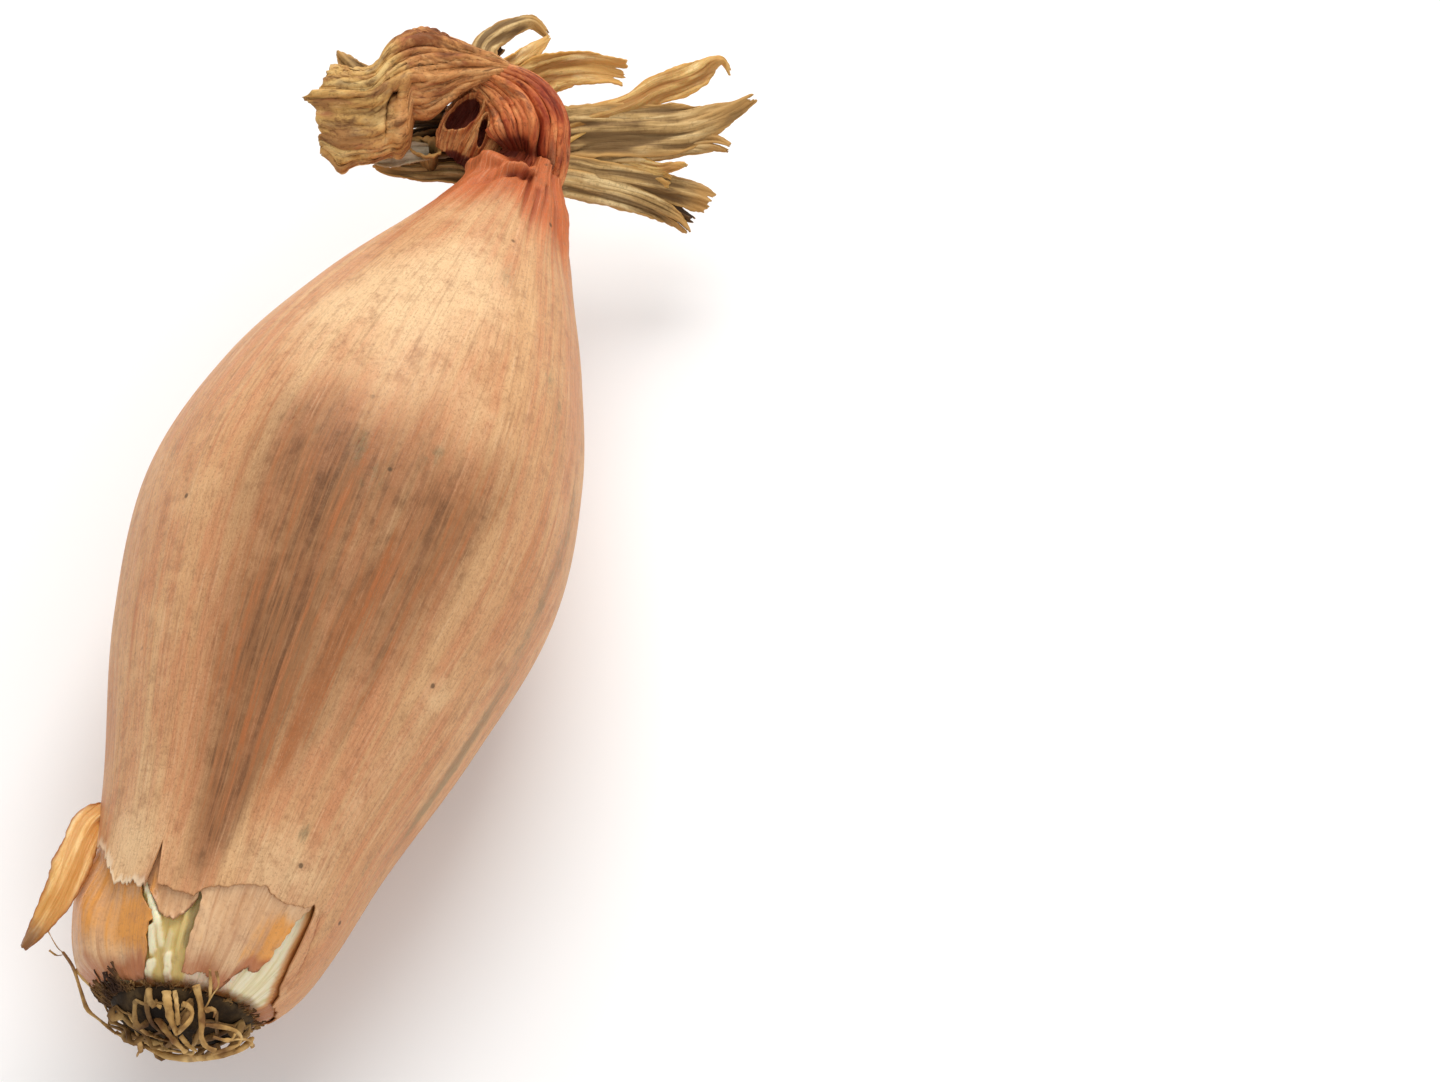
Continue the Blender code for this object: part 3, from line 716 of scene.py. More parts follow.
def skin_lift(station, degrees):
    """How far the skin stands above its even form: the curled tear, soft waves, and the gathered neck."""
    from_edge = station - torn_station(degrees)
    middle = window(degrees, -22, -16, 56, 60)
    curl = (0.16 + 0.36 * noise_1d(degrees * 0.11, 3)) * math.exp(-max(from_edge, 0.0) / (1.1 * MM))
    notch = 0.45 * hill(degrees, -23.0, 1.6) * (1 - share(from_edge, 0.0, 3.0 * MM))
    gather = share(station, 86 * MM, 99 * MM)
    lip_at = lip_station(degrees)
    lip = lip_window(degrees) * (
        0.50 * hill(station, lip_at, 0.75 * MM)
        - 0.25 * hill(station, lip_at - 2.4 * MM, 1.3 * MM)
        + 0.28 * folds(Vector((degrees / 9, station / (5 * MM), 3.0))) * share(station, 94 * MM, 98 * MM)
        - 3.4 * share(station, lip_at + 0.3 * MM, lip_at + 2.0 * MM)
    )
    follow = (1 - lip_window(degrees)) * 1.9 * share(station, 96 * MM, 102 * MM)
    return (
        curl * (1 - middle) + notch + skin_waves(station, degrees) * (1 - gather) + 0.2 * gather
        + neck_creases(station, degrees) + lip - follow - 0.05 - 0.28 * crack_depth(station, degrees)
    ) * MM


# %% Roll the skin
def skin_place(u, v):
    degrees = skin_degrees(u)
    station = skin_station(u, v)
    return surface_point(station, math.radians(degrees), skin_lift(station, degrees))


def skin_uv(u, v):
    return (skin_degrees(u) / 360 + 0.5, skin_station(u, v) / MM)


def blush_mask(u, v):
    station, degrees = skin_station(u, v) / MM, skin_degrees(u)
    sides = 0.5 + 0.5 * math.cos(math.radians(degrees - 20))
    start = 84 + 7 * sides * hill(degrees, 8, 24)
    return share(station, start, 99.0)


def edge_mask(u, v):
    degrees = skin_degrees(u)
    from_edge = skin_station(u, v) - torn_station(degrees)
    return 0.75 * math.exp(-from_edge / (0.10 * MM)) * (1 - 0.8 * frayed(degrees))


def frayed_mask(u, v):
    """The pale, thin rim of the frayed tear."""
    degrees = skin_degrees(u)
    from_edge = (skin_station(u, v) - torn_station(degrees)) / MM
    width = 0.9 + 1.0 * noise_1d(degrees * 0.4, 5)
    return frayed(degrees) * (1 - share(from_edge, 0.3 * width, max(0.4, width)))


# Where the skin gets painted shade: in the neck's folds, in the hollow behind the lip and in the cracks.
def crease_shade_mask(u, v):
    station, degrees = skin_station(u, v), skin_degrees(u)
    lip_at = lip_station(degrees)
    hollow = lip_window(degrees) * share(station, lip_at + 0.5 * MM, lip_at + 1.5 * MM)
    folded = max(0.0, -neck_creases(station, degrees) / 1.1)
    return min(1.0, folded + hollow + 0.8 * crack_depth(station, degrees))


papery_skin = make_sheet("papery_skin", 250, 170, skin_place, skin_uv, {
    "stain": patch_mask(STAINS), "rust": patch_mask(RUSTS), "gold_and_highlight": patch_mask(GOLDS_AND_HIGHLIGHTS),
    "olive": patch_mask(OLIVES), "blush": blush_mask, "edge": edge_mask, "shaded_crease": crease_shade_mask,
    "frayed": frayed_mask,
})
close_seam(papery_skin)
thicken(papery_skin, 0.15 * MM)
settle(papery_skin, skin_finish, "papery_skin", "outer_skin")

# %% [markdown]
# ## The flesh under the skins
#
# Where both dry skins are gone, the fresh outer scale shows: creamy white, waxy, with green-yellow streaks.
# It is the whole bulb, closed at both ends, although only its root end is seen. A little subsurface light
# makes it look moist next to the dry skins.


# %% The flesh
SWELL = 1.9 * MM
SWELL_ANGLES = (-96, -84, -64, -38)
FLESH_CROWDING = 0.62
FLESH_START = 1.9 * MM
FLESH_END = 96.8 * MM
FLESH_FLOW = 1.8        # above 1, the rows of the grid crowd towards the root end
# Raised strands of flesh where the skins have split: station and angle of each end, half width and height in
# mm, and how white they are.
STRANDS = [
    ((10.6, -27), (9.0, -21.5), 0.42, 0.50, 1.0), ((9.0, -21.5), (7.2, -15.5), 0.45, 0.60, 1.0),
    ((7.2, -15.5), (5.4, -12.5), 0.40, 0.45, 0.7), ((6.6, -19), (4.9, -17.5), 0.50, 0.65, 1.0),
    ((3.6, -19), (2.3, -21), 0.45, 0.60, 1.0), ((3.9, -15.5), (3.0, -18), 0.35, 0.55, 0.9),
    ((4.4, -7), (2.6, -5.5), 0.48, 0.60, 1.0), ((10.0, -3), (7.6, -1.5), 0.35, 0.30, 0.3),
    ((7.6, -1.5), (5.0, -2.5), 0.35, 0.30, 0.3), ((6.4, -8), (4.6, -9), 0.45, 0.30, 0.5),
    ((7.9, -19.5), (7.1, -17.0), 0.35, 0.35, 0.0),
]


def swell(station, degrees):
    """The second skin swells out on the left, where the outer skin is gone."""
    below_edge = torn_station(degrees) - station
    uncovered = share(station, 1.8 * MM, 4.6 * MM) * share(below_edge, 0.5 * MM, 6.0 * MM)
    return SWELL * window(degrees, *SWELL_ANGLES) * uncovered


def strands(station, degrees):
    """Height of the strands in mm, and their whiteness, at a station in mm."""
    height, white = 0.0, 0.0
    if station > 12 or not -32 < degrees < 6:
        return height, white
    radius = section_radius(station * MM, 0.0) / MM
    wander = 0.22 * noise_1d(station * 1.9, 9)
    for start, end, width, top, pale in STRANDS:
        near = math.exp(-(from_stretch(station, degrees, radius, start, end, wander)[0] / width) ** 4)
        height = max(height, top * near)
        white = max(white, pale * near)
    return height, white


def flesh_station(v):
    return FLESH_START + (FLESH_END - FLESH_START) * v ** FLESH_FLOW


def flesh_place(u, v):
    station = flesh_station(v)
    degrees = skin_degrees(u, FLESH_CROWDING)
    angle = math.radians(degrees)
    if v in (0.0, 1.0):
        return lay(axis_point(station))
    around = ring(angle)
    ridges = 0.14 * noise.noise(around * 9.0 + Vector((0, 0, station / (3 * MM))))
    strip = hill(degrees, -12, 12) * (1 - share(station, 9 * MM, 12 * MM))
    ridges += 0.32 * strip * noise.noise(around * 22.0 + Vector((3, 0, station / (2.0 * MM))))
    ridges += strands(station / MM, degrees)[0]
    neck = 2.2 * share(station, 84 * MM, 96 * MM)
    rise = 0.40 * slit_mask(station / MM, degrees) * (1 - share(station, 12 * MM, 16 * MM))
    return surface_point(station, angle, swell(station, degrees) + (ridges + rise - 0.85 - neck) * MM)


SLIT_LINE = [(3, 80), (4.5, 68), (6.5, 62), (8.5, 60), (13, 58)]   # the slit's angle by station


def slit_mask(station, degrees):
    """1 in the shade under the slit's edge."""
    return share(degrees, straight_value(SLIT_LINE, station) - 4.5, straight_value(SLIT_LINE, station) - 0.2)


def flesh_mask(value_at):
    return lambda u, v: value_at(flesh_station(v) / MM, skin_degrees(u, FLESH_CROWDING))


def flesh_finish():
    finish = Finish("fresh_flesh", 0.38, Subsurface_Weight=0.25, Subsurface_Scale=0.002,
                    Specular_IOR_Level=0.5)
    streaks = finish.noise(finish.cylinder(16.0, 0.16), detail=3.0)
    fine = finish.noise(finish.cylinder(60.0, 0.4), detail=3.0)
    clouds = finish.noise(finish.place(), scale=420.0, detail=4.0, rough=0.65)
    colour = finish.ramp(
        streaks, (0.34, (0.66, 0.53, 0.25)), (0.5, (0.80, 0.69, 0.43)), (0.66, (0.86, 0.76, 0.54)),
    )
    split = finish.plus(finish.mask("split"), finish.centred(clouds))
    colour = finish.tint(colour, split, 0.2, 0.8, 0.9, (0.66, 0.46, 0.13))
    olive = finish.plus(finish.mask("olive"), finish.centred(clouds, 1.6))
    colour = finish.tint(colour, olive, 0.4, 1.0, 0.8, (0.26, 0.18, 0.06))
    colour = finish.tint(colour, finish.mask("pink"), 0.1, 1.0, 0.75, (0.80, 0.58, 0.43))
    colour = finish.tint(colour, fine, 0.46, 0.3, 0.35, (0.50, 0.38, 0.15))
    colour = finish.mix(finish.fade(finish.mask("white"), 0.2, 0.9), colour, (0.87, 0.76, 0.50))
    colour = finish.tint(colour, clouds, 0.60, 0.74, 0.5, (0.40, 0.26, 0.08))
    root = finish.plus(finish.mask("root"), finish.centred(clouds))
    colour = finish.mix(finish.fade(root, 0.3, 1.0), colour, (0.24, 0.085, 0.02))
    colour = finish.tint(colour, finish.mask("slit"), 0.1, 0.9, 0.92, (0.55, 0.215, 0.045))
    colour = finish.tint(colour, finish.mask("slit"), 0.9, 1.0, 0.8, (0.36, 0.110, 0.024))
    height = finish.plus(streaks, finish.times(fine, 0.4))
    return finish.finish(colour, finish.plus(height, finish.times(clouds, 0.8)), 0.14 * MM)


flesh_material = flesh_finish()
flesh = make_sheet(
    "flesh", 230, 110, flesh_place,
    lambda u, v: (skin_degrees(u, FLESH_CROWDING) / 360 + 0.5, flesh_station(v) / MM),
    {
        "root": flesh_mask(lambda station, degrees: 1 - share(station, 2.0, 3.8)),
        "white": flesh_mask(lambda station, degrees: strands(station, degrees)[1]),
        "split": flesh_mask(lambda station, degrees: window(degrees, -34, -26, 4, 8)),
        "olive": flesh_mask(lambda station, degrees: hill(degrees, 2, 3.0) * share(station, 4, 6)),
        "pink": flesh_mask(lambda station, degrees: window(degrees, 2, 8, 34, 46)),
        "slit": flesh_mask(slit_mask),
    },
)
close_seam(flesh)
settle(flesh, flesh_material, "fresh_flesh", "bulb")

# %% [markdown]
# ## The second dry skin
#
# Under the outer skin lies a second one, shinier and more orange. It clings to the flesh and has split into
# panels, whose curled and ragged edges show a brown rim. Each panel is a sheet between two side edges and a
# lower edge, and its top is tucked in under the outer skin.

# %% Panels of the second skin
TUCKED = 21.0       # the station in mm where every panel ends, under the outer skin
LEFT_PANEL = {      # angle of each side edge by station, then station of the lower edge by angle
    "start": [(0, -150), (TUCKED, -150)],
    "end": [(2, -24), (3.4, -22), (4.6, -20.5), (6, -21.5), (7, -21), (7.8, -17), (8.4, -23), (9.4, -28),
            (10.4, -30), (TUCKED, -30)],
    "low": [(-150, 2.6), (-120, 2.2), (-90, 2.8), (-70, 2.6), (-50, 2.7), (-35, 2.4), (-18, 2.6)],
}
TONGUE_PANEL = {
    "start": [(7, -13), (8.3, -17), (9.4, -22), (10.5, -27), (TUCKED, -27)],
    "end": [(7, -7), (8.0, -3.5), (9.0, 0.5), (10.0, 2.0), (TUCKED, 2)],
    "low": [(-27, 10.3), (-21, 9.2), (-16, 8.2), (-11, 7.6), (-7, 7.6), (-3, 8.2), (1, 9.3), (3, 10.0)],
}
MIDDLE_PANEL = {
    "start": [(2, 3), (4.5, 3.6), (6.5, 4.0), (8.6, 4.4), (10, 4.0), (11, 1), (TUCKED, -2)],
    "end": [(2, 38), (3.5, 44), (5, 47), (7.5, 49), (11, 51.5), (13.5, 56), (TUCKED, 60)],
    "low": [(0, 3.1), (10, 3.1), (16, 3.4), (22, 3.0), (28, 2.3), (33, 2.5), (36, 3.9), (40, 4.9),
            (44, 4.5), (50, 5.4), (60, 6.0)],
}
BACK_PANEL = {
    "start": [(0, 92), (4, 86), (8, 80), (TUCKED, 76)],
    "end": [(0, 214), (TUCKED, 214)],
    "low": [(76, 3.0), (95, 2.3), (120, 2.6), (150, 2.2), (180, 2.8), (214, 2.4)],
}
RIM_CURL = 0.45     # how high the panels' torn edges curl up, in mm


def second_skin_panel(name, panel, height, seed, orange):
    """A panel of the second skin. height is how far it lies under the outer skin's surface, in mm, and
    orange(station, degrees) tells where it is stained orange."""

    def flat_place(u, v):
        # The side edges depend on the station and the lower edge on the angle, so the two are found in turn.
        station = 5.0 + (TUCKED - 5.0) * v
        for _ in range(6):
            start = straight_value(panel["start"], station) + 1.0 * noise_1d(station * 1.3, seed)
            end = straight_value(panel["end"], station) + 1.0 * noise_1d(station * 1.3, seed + 1)
            degrees = start + (end - start) * u
            low = straight_value(panel["low"], degrees) + 0.22 * noise_1d(degrees * 0.35, seed + 2)
            low += 0.14 * noise_1d(degrees * 1.1, seed + 5)
            station = low + (TUCKED - low) * v ** 1.7
        sides = min(degrees - start, end - degrees) * 0.2
        return station, degrees, station - low, sides

    def place(u, v):
        station, degrees, from_low, from_side = flat_place(u, v)
        edge = min(from_low, from_side)
        ragged = 0.5 + 1.1 * noise_1d(station * 1.1 + degrees * 0.16, seed + 3)
        curl = RIM_CURL * ragged * math.exp(-max(edge, 0.0) / 0.4)
        angle = math.radians(degrees)
        around = ring(angle)
        waves = 0.12 * noise.noise(around * 14.0 + Vector((seed, 0, station / 7))) - 0.10
        open_part = share(torn_station(wrapped(degrees)) - station * MM, -0.3 * MM, 1.2 * MM)
        lift = swell(station * MM, wrapped(degrees))
        return surface_point(
            station * MM, angle,
            lift + (skin_waves(station * MM, degrees) + (curl + waves) * open_part - height) * MM,
        )

    def uv_at(u, v):
        station, degrees, _, _ = flat_place(u, v)
        return (degrees / 360 + 0.5, station)

    def rim_mask(u, v):
        _, _, from_low, from_side = flat_place(u, v)
        return math.exp(-max(from_low, 0.0) / 0.45) + 0.40 * math.exp(-max(from_side, 0.0) / 0.07)

    def root_mask(u, v):
        station, degrees, from_low, _ = flat_place(u, v)
        low_part = 1 - share(station, 5.5, 7.5)
        return low_part * (1 - share(from_low + 0.8 * noise_1d(degrees * 0.3, seed + 6), 0.2, 3.2))

    sheet = make_sheet(name, 116, 76, place, uv_at, {
        "rim": rim_mask, "root": root_mask, "orange": lambda u, v: orange(*flat_place(u, v)[:2]),
    })
    thicken(sheet, 0.14 * MM)
    return sheet


def second_skin_finish():
    finish = Finish("second_skin", 0.36, Specular_IOR_Level=0.45)
    bands = finish.noise(finish.cylinder(6.0, 0.05), detail=3.0)
    stripes = finish.noise(finish.cylinder(19.0, 0.10), detail=3.0, distortion=0.3)
    fibres = finish.noise(finish.cylinder(70.0, 0.30), detail=3.0)
    mottle = finish.noise(finish.place(), scale=520.0, detail=4.0, rough=0.7)
    grain = finish.noise(finish.place(), scale=3000.0, detail=2.0, rough=0.7)
    clouds = finish.noise(finish.place(), scale=260.0, detail=3.0, rough=0.6)

    def loose(mask, amount):
        return finish.plus(finish.mask(mask), finish.centred(clouds, amount))

    colour = finish.ramp(bands, (0.34, TAN), (0.5, (0.70, 0.41, 0.21)), (0.66, (0.79, 0.50, 0.27)))
    colour = finish.tint(colour, stripes, 0.52, 0.68, 0.60, (0.86, 0.58, 0.33))
    colour = finish.tint(colour, stripes, 0.48, 0.32, 0.45, (0.50, 0.215, 0.085))
    orange = finish.plus(loose("orange", 0.9), finish.centred(stripes, 1.6))
    colour = finish.tint(colour, orange, 0.1, 0.9, 0.92, (0.72, 0.29, 0.045))
    colour = finish.tint(colour, fibres, 0.48, 0.3, 0.28, (0.34, 0.14, 0.05))
    colour = finish.tint(colour, mottle, 0.52, 0.3, 0.35, (0.42, 0.18, 0.08))
    colour = finish.tint(colour, grain, 0.5, 0.3, 0.25, SHADE)
    colour = finish.tint(colour, loose("root", 1.6), 0.15, 1.0, 0.85, (0.42, 0.125, 0.038))
    colour = finish.tint(colour, loose("rim", 1.1), 0.50, 1.2, 0.85, (0.22, 0.075, 0.022))
    height = finish.plus(stripes, finish.times(fibres, 0.5))
    return finish.finish(colour, finish.plus(height, finish.times(mottle, 0.6)), 0.13 * MM)


def patch(station, degrees, middle_station, middle_degrees, length, width):
    away = ((station - middle_station) / length) ** 2 + ((degrees - middle_degrees) / width) ** 2
    return math.exp(-away)


def left_orange(station, degrees):
    upper = 0.55 * share(station, 3.5, 6.5) + 0.3 * patch(station, degrees, 9.0, -64, 3.0, 8)
    return upper + 0.9 * patch(station, degrees, 7.0, -27, 2.0, 12)


def tongue_orange(station, degrees):
    return 0.5 * patch(station, degrees, 10, -21, 2, 3)


def middle_orange(station, degrees):
    return 0.75 * share(degrees, 28, 42) * window(station, 4.5, 6.5, 9.5, 12.5)


def back_orange(station, degrees):
    return 0.5


second_material = second_skin_finish()
for name, panel, height, seed, orange in (
    ("second_skin_left", LEFT_PANEL, 0.45, 11, left_orange),
    ("second_skin_tongue", TONGUE_PANEL, 0.40, 61, tongue_orange),
    ("second_skin_middle", MIDDLE_PANEL, 0.30, 21, middle_orange),
    ("second_skin_back", BACK_PANEL, 0.55, 31, back_orange),
):
    settle(second_skin_panel(name, panel, height, seed, orange), second_material, "fresh_flesh", "bulb")

# %% [markdown]
# ## Leaves and blades along a path
#
# Everything that dried at the neck, and the loose flake at the root end, is a narrow leaf: it follows a path,
# has a width at each point, and is cupped, ribbed, split and frayed. One helper lays a grid along such a path.
# Each point of a path is a station and the distances left of and above the axis, with half the width there.
# The ribs are sharp folds, and the helper keeps how deep a point lies between them, so that a material can
# darken the valleys with painted shade.


# %% The leaf helper
def path_frames(path, steps, facing, side=None):
    """Point, side, normal and row at each step of a path whose flat face looks towards facing."""
    rows = smooth_path(path, steps)
    points = [beside_axis(*row[:3]) for row in rows]
    frames = []
    for i, point in enumerate(points):
        tangent = (points[min(i + 1, steps)] - points[max(i - 1, 0)]).normalized()
        across = side or tangent.cross(facing).normalized()
        normal = facing if side else across.cross(tangent).normalized()
        frames.append((point, across, normal, rows[i]))
    return frames


def at_step(frames, v):
    """The frame at a share v of the path, between its two nearest steps."""
    place = v * (len(frames) - 1)
    i = min(int(place), len(frames) - 2)
    t = place - i
    (p, s, n, r), (q, w, m, o) = frames[i], frames[i + 1]
    return p.lerp(q, t), s.lerp(w, t).normalized(), n.lerp(m, t).normalized(), [
        a + (b - a) * t for a, b in zip(r, o)
    ]


def leaf_sheet(name, path, facing, seed, cup=0.3, ribs=0.1, curl=0.5, fray=0.05, twist=0.0, wall=0.2,
               splits=(), across=30, along=110):
    """A dried leaf: cup and ribs are depths in mm, curl rolls its edges up, fray roughens its end, and each of
    the splits is (place across, depth as a share of the length)."""
    frames = path_frames(path, along, facing)
    length = sum((b[0] - a[0]).length for a, b in zip(frames, frames[1:])) / MM

    def rib_height(u, v):
        half = max(0.6, at_step(frames, v)[3][3])
        wide = folds(Vector(((2 * u - 1) * half * 0.75, v * length / 13, 0.0)), seed)
        fine = folds(Vector(((2 * u - 1) * half * 2.2, v * length / 7, 3.0)), seed)
        return wide + 0.45 * fine

    def place(u, v):
        side_share = 2 * u - 1
        cut = fray * (noise_1d(u * 6, seed) + 0.6 * noise_1d(u * 17, seed + 1)) * share(v, 0.55, 1.0)
        for middle, depth in splits:
            cut -= depth * v ** 3 * max(0.0, 1 - abs(u - middle) / 0.10)
        at = min(1.0, max(0.0, v * (1 - 0.5 * fray) + cut))
        point, side, normal, row = at_step(frames, at)
        rough = 0.13 * noise_1d(at * 9 + 3 * side_share, seed + 2)
        rough += 0.07 * noise_1d(at * 34 + 5 * side_share, seed + 4)
        half = row[3] * (1 + rough)
        bend = cup * (1 - side_share ** 2)
        bend += curl * abs(side_share) ** 3 * (0.35 + noise_1d(at * 5 + 1.5 * side_share, seed + 3))
        bend += ribs * rib_height(u, at)
        turn = twist * math.sin(3 * at + seed)
        swung = side * math.cos(turn) + normal * math.sin(turn)
        raised = normal * math.cos(turn) - side * math.sin(turn)
        return point + swung * (side_share * half * MM) + raised * (bend * MM)

    def uv_at(u, v):
        return ((2 * u - 1) * at_step(frames, v)[3][3] + seed * 7, v * length)

    sheet = make_sheet(name, across, along, place, uv_at, {
        "margin": lambda u, v: abs(2 * u - 1) ** 6,
        "along": lambda u, v: v,
        "shaded_crease": lambda u, v: min(1.0, max(0.0, -rib_height(u, v))),
    })
    thicken(sheet, wall * MM, offset=0.0)
    return sheet


# %% [markdown]
# ## The loose flake
#
# At the left of the root end a strip of the outer skin has peeled outwards. It is honey-coloured, thin enough
# to glow, and darker along its edges and at its tip. It follows its solid's path with a shallow cup, and its
# broad side looks up and away from the neck.

# %% The flake
TOWARDS_ROOT_SKY = Vector((-0.45, -0.15, 0.88))     # where flat leaves look: up, and back towards the root end
FLAKE = [
    (18.9, 14.9, 1.4, 0.8), (16.4, 15.4, 3.2, 1.5), (13.6, 15.2, 4.5, 1.75), (10.6, 14.9, 5.2, 1.85),
    (7.6, 14.9, 5.4, 1.6), (5.0, 15.3, 5.2, 1.15), (3.0, 15.8, 4.8, 0.7), (1.6, 16.3, 4.4, 0.3),
]


def leaf_finish(name, dark, main, light, margin, roughness, glow=0.0, streaky=1.0, tip=None):
    """Dried leaf: dark, main and light run in streaks along it, and its edges take the margin colour."""
    finish = Finish(name, roughness, Subsurface_Weight=glow, Subsurface_Scale=0.0015, Specular_IOR_Level=0.25)
    uv = finish.uv()
    streaks = finish.noise(finish.stretched(uv, (1.1, 0.06, 1.0)), detail=4.0, rough=0.62, distortion=0.3)
    fibres = finish.noise(finish.stretched(uv, (4.5, 0.16, 1.0)), detail=3.0, rough=0.6)
    grain = finish.noise(finish.place(), scale=2400.0, detail=2.0, rough=0.7)
    patches = finish.noise(finish.place(), scale=170.0, detail=4.0, rough=0.6)
    blend = finish.plus(finish.times(streaks, 0.65), finish.times(patches, 0.35))
    colour = finish.ramp(blend, (0.38, dark), (0.50, main), (0.62, light))
    colour = finish.tint(colour, fibres, 0.48, 0.28, 0.75 * streaky, dark)
    colour = finish.tint(colour, fibres, 0.56, 0.75, 0.4 * streaky, light)
    colour = finish.tint(colour, grain, 0.5, 0.3, 0.35 * streaky, dark)
    # Painted shade: the valleys between the ribs are darkened by their depth.
    colour = finish.tint(colour, finish.mask("shaded_crease"), 0.35, 1.0, 0.85 * streaky, dark)
    colour = finish.tint(colour, finish.mask("margin"), 0.1, 0.9, 0.85, margin)
    if tip:
        end = finish.plus(finish.mask("along"), finish.centred(patches, 0.5))
        colour = finish.tint(colour, end, 0.70, 0.94, 0.9, tip)
    height = finish.plus(streaks, finish.times(fibres, 0.6))
    return finish.finish(colour, height, 0.22 * MM)


flake_material = leaf_finish(
    "loose_flake", (0.56, 0.25, 0.055), (0.80, 0.47, 0.17), (0.92, 0.68, 0.36), (0.34, 0.11, 0.02), 0.42,
    glow=0.10, streaky=0.75, tip=(0.17, 0.060, 0.016),
)
flake = leaf_sheet("curled_flake", FLAKE, TOWARDS_ROOT_SKY, 41, cup=0.65, ribs=0.16, curl=0.45,
                   fray=0.03, wall=0.16, across=40, along=90)
settle(flake, flake_material, "loose_flake", "skin_flake")

# %% [markdown]
# ## The folded sheath
#
# The leaf that once stood on the bulb has dried, folded over to the left and shrunk. It has two rolled parts.
# The red collar rises out of the neck, bulges, and narrows as it bends over. The sleeve starts at that pinch,
# swells to a hump and ends in a broad, flattened mouth, whose lower half hangs down. Each is a grid rolled
# round its path, whose lift is a sum of sharp folds that run along it. Beside the collar lies one more sheet.
# Two pits with raised rims are pressed into it: the pockets of the crumpled sheath. The pits, the hollow above
# the lip and the valleys of the folds are darkened with painted shade.

# %% The rolled parts' paths
# Station, left, up, half width and half depth, in mm.
COLLAR = [
    (96.8, 0.2, 0.0, 3.0, 2.0), (99.5, 0.4, 0.2, 3.7, 1.6), (101.6, 0.6, 0.3, 4.1, 1.4),
    (103.4, 1.0, 1.6, 4.2, 2.6), (105.4, 1.7, 2.0, 4.1, 2.7), (107.2, 3.3, 2.1, 3.6, 2.3),
    (108.4, 5.5, 2.2, 2.8, 1.7), (108.9, 7.8, 2.6, 1.9, 1.2), (108.7, 9.6, 3.0, 1.1, 0.8),
]
SLEEVE = [
    (110.4, 5.7, 3.5, 0.5, 0.4), (109.9, 7.0, 3.8, 1.2, 0.9), (109.1, 8.6, 4.0, 2.0, 1.3),
    (108.3, 10.1, 4.3, 2.8, 1.6), (107.2, 11.6, 4.7, 4.0, 1.9), (106.2, 13.2, 5.2, 4.8, 2.2),
    (105.6, 14.4, 5.5, 4.6, 2.4), (104.7, 15.3, 5.7, 4.4, 2.4), (103.2, 16.2, 5.9, 4.3, 2.3),
    (101.2, 17.2, 6.0, 3.5, 2.0), (100.2, 18.9, 6.2, 3.4, 1.8), (99.6, 20.8, 6.2, 3.6, 1.6),
    (99.1, 22.5, 6.0, 3.4, 1.4),
]
SLEEVE_STANDS = Vector((0.835, 0.274, 0.477))   # the way in which the flattened sleeve is broad
SLEEVE_LENGTH = 24.0
COLLAR_LENGTH = 18.0


def rolled_sheath(name, frames, length, relief, across, along, shift=None):
    """A sheet rolled round a path: relief(turn, v) lifts it and shift(turn, v) moves it on and down, in mm."""

    def place(u, v):
        point, side, normal, row = at_step(frames, v)
        turn = 2 * math.pi * u
        lift = relief(turn, v) * min(1.0, row[3] / 2.6)
        tangent = normal.cross(side)
        onward, down = shift(turn, v) if shift else (0.0, 0.0)
        return (
            point + side * ((math.cos(turn) * (row[3] + lift) - down) * MM)
            + normal * (math.sin(turn) * (row[4] + lift) * MM) + tangent * (onward * MM)
        )

    sheet = make_sheet(name, across, along, place, lambda u, v: (u, length * v), {
        "along": lambda u, v: v,
        "shaded_crease": lambda u, v: min(1.0, max(0.0, -relief(2 * math.pi * u, v) / 1.3)),
        "margin": lambda u, v: share(v, 0.85, 1.0),
    })
    close_seam(sheet)
    thicken(sheet, 0.25 * MM)
    return sheet


# The dark crease beside the rolled edge: mm along the sleeve and below its middle line.
HOOK = [(14.6, 1.0, 0.0), (15.6, 0.75, 0.0), (16.2, 1.2, 0.0), (16.4, 2.6, 0.0)]


def sleeve_relief(turn, v):
    sway = 0.22 * noise.noise(Vector((1.2 * math.cos(turn), 1.2 * math.sin(turn), v * 2.4)))
    around = ring(turn + sway)
    lift = 0.60 * folds(around * 1.9 + Vector((0, 0, v * 1.6)), 1)
    lift += 0.42 * folds(around * 5.0 + Vector((0, 0, v * 1.9)), 2)
    lift += 0.26 * folds(around * 11.0 + Vector((0, 0, v * 2.8)), 3)
    lift += 0.12 * folds(around * 22.0 + Vector((0, 0, v * 4.5)), 4)
    lift += 0.10 * folds(Vector((turn * 1.3, 0.0, v * 16.0)), 9) * share(v, 0.45, 0.7)
    below = -math.cos(turn)         # 1 at the lower edge, and 0 in the middle
    roll = hill(v, 0.595, 0.036) * share(below, 0.1, 0.5)
    hook = Vector((v * SLEEVE_LENGTH, below * 4.3, 0.0))
    away = min(from_line(hook - Vector(a), Vector(b) - Vector(a))[0] for a, b in zip(HOOK, HOOK[1:]))
    shaded_crease = hill(away, 0.0, 0.26) * share(math.sin(turn), 0.0, 0.4)
    return 0.45 + lift - 1.5 * shaded_crease + 0.8 * roll - 0.9 * sleeve_shadow(turn, v)


def sleeve_shadow(turn, v):
    """Where the sleeve tucks under itself, by the pinch, 1 at most."""
    return share(-math.cos(turn), 0.80, 0.97) * (1 - share(v, 0.26, 0.40))


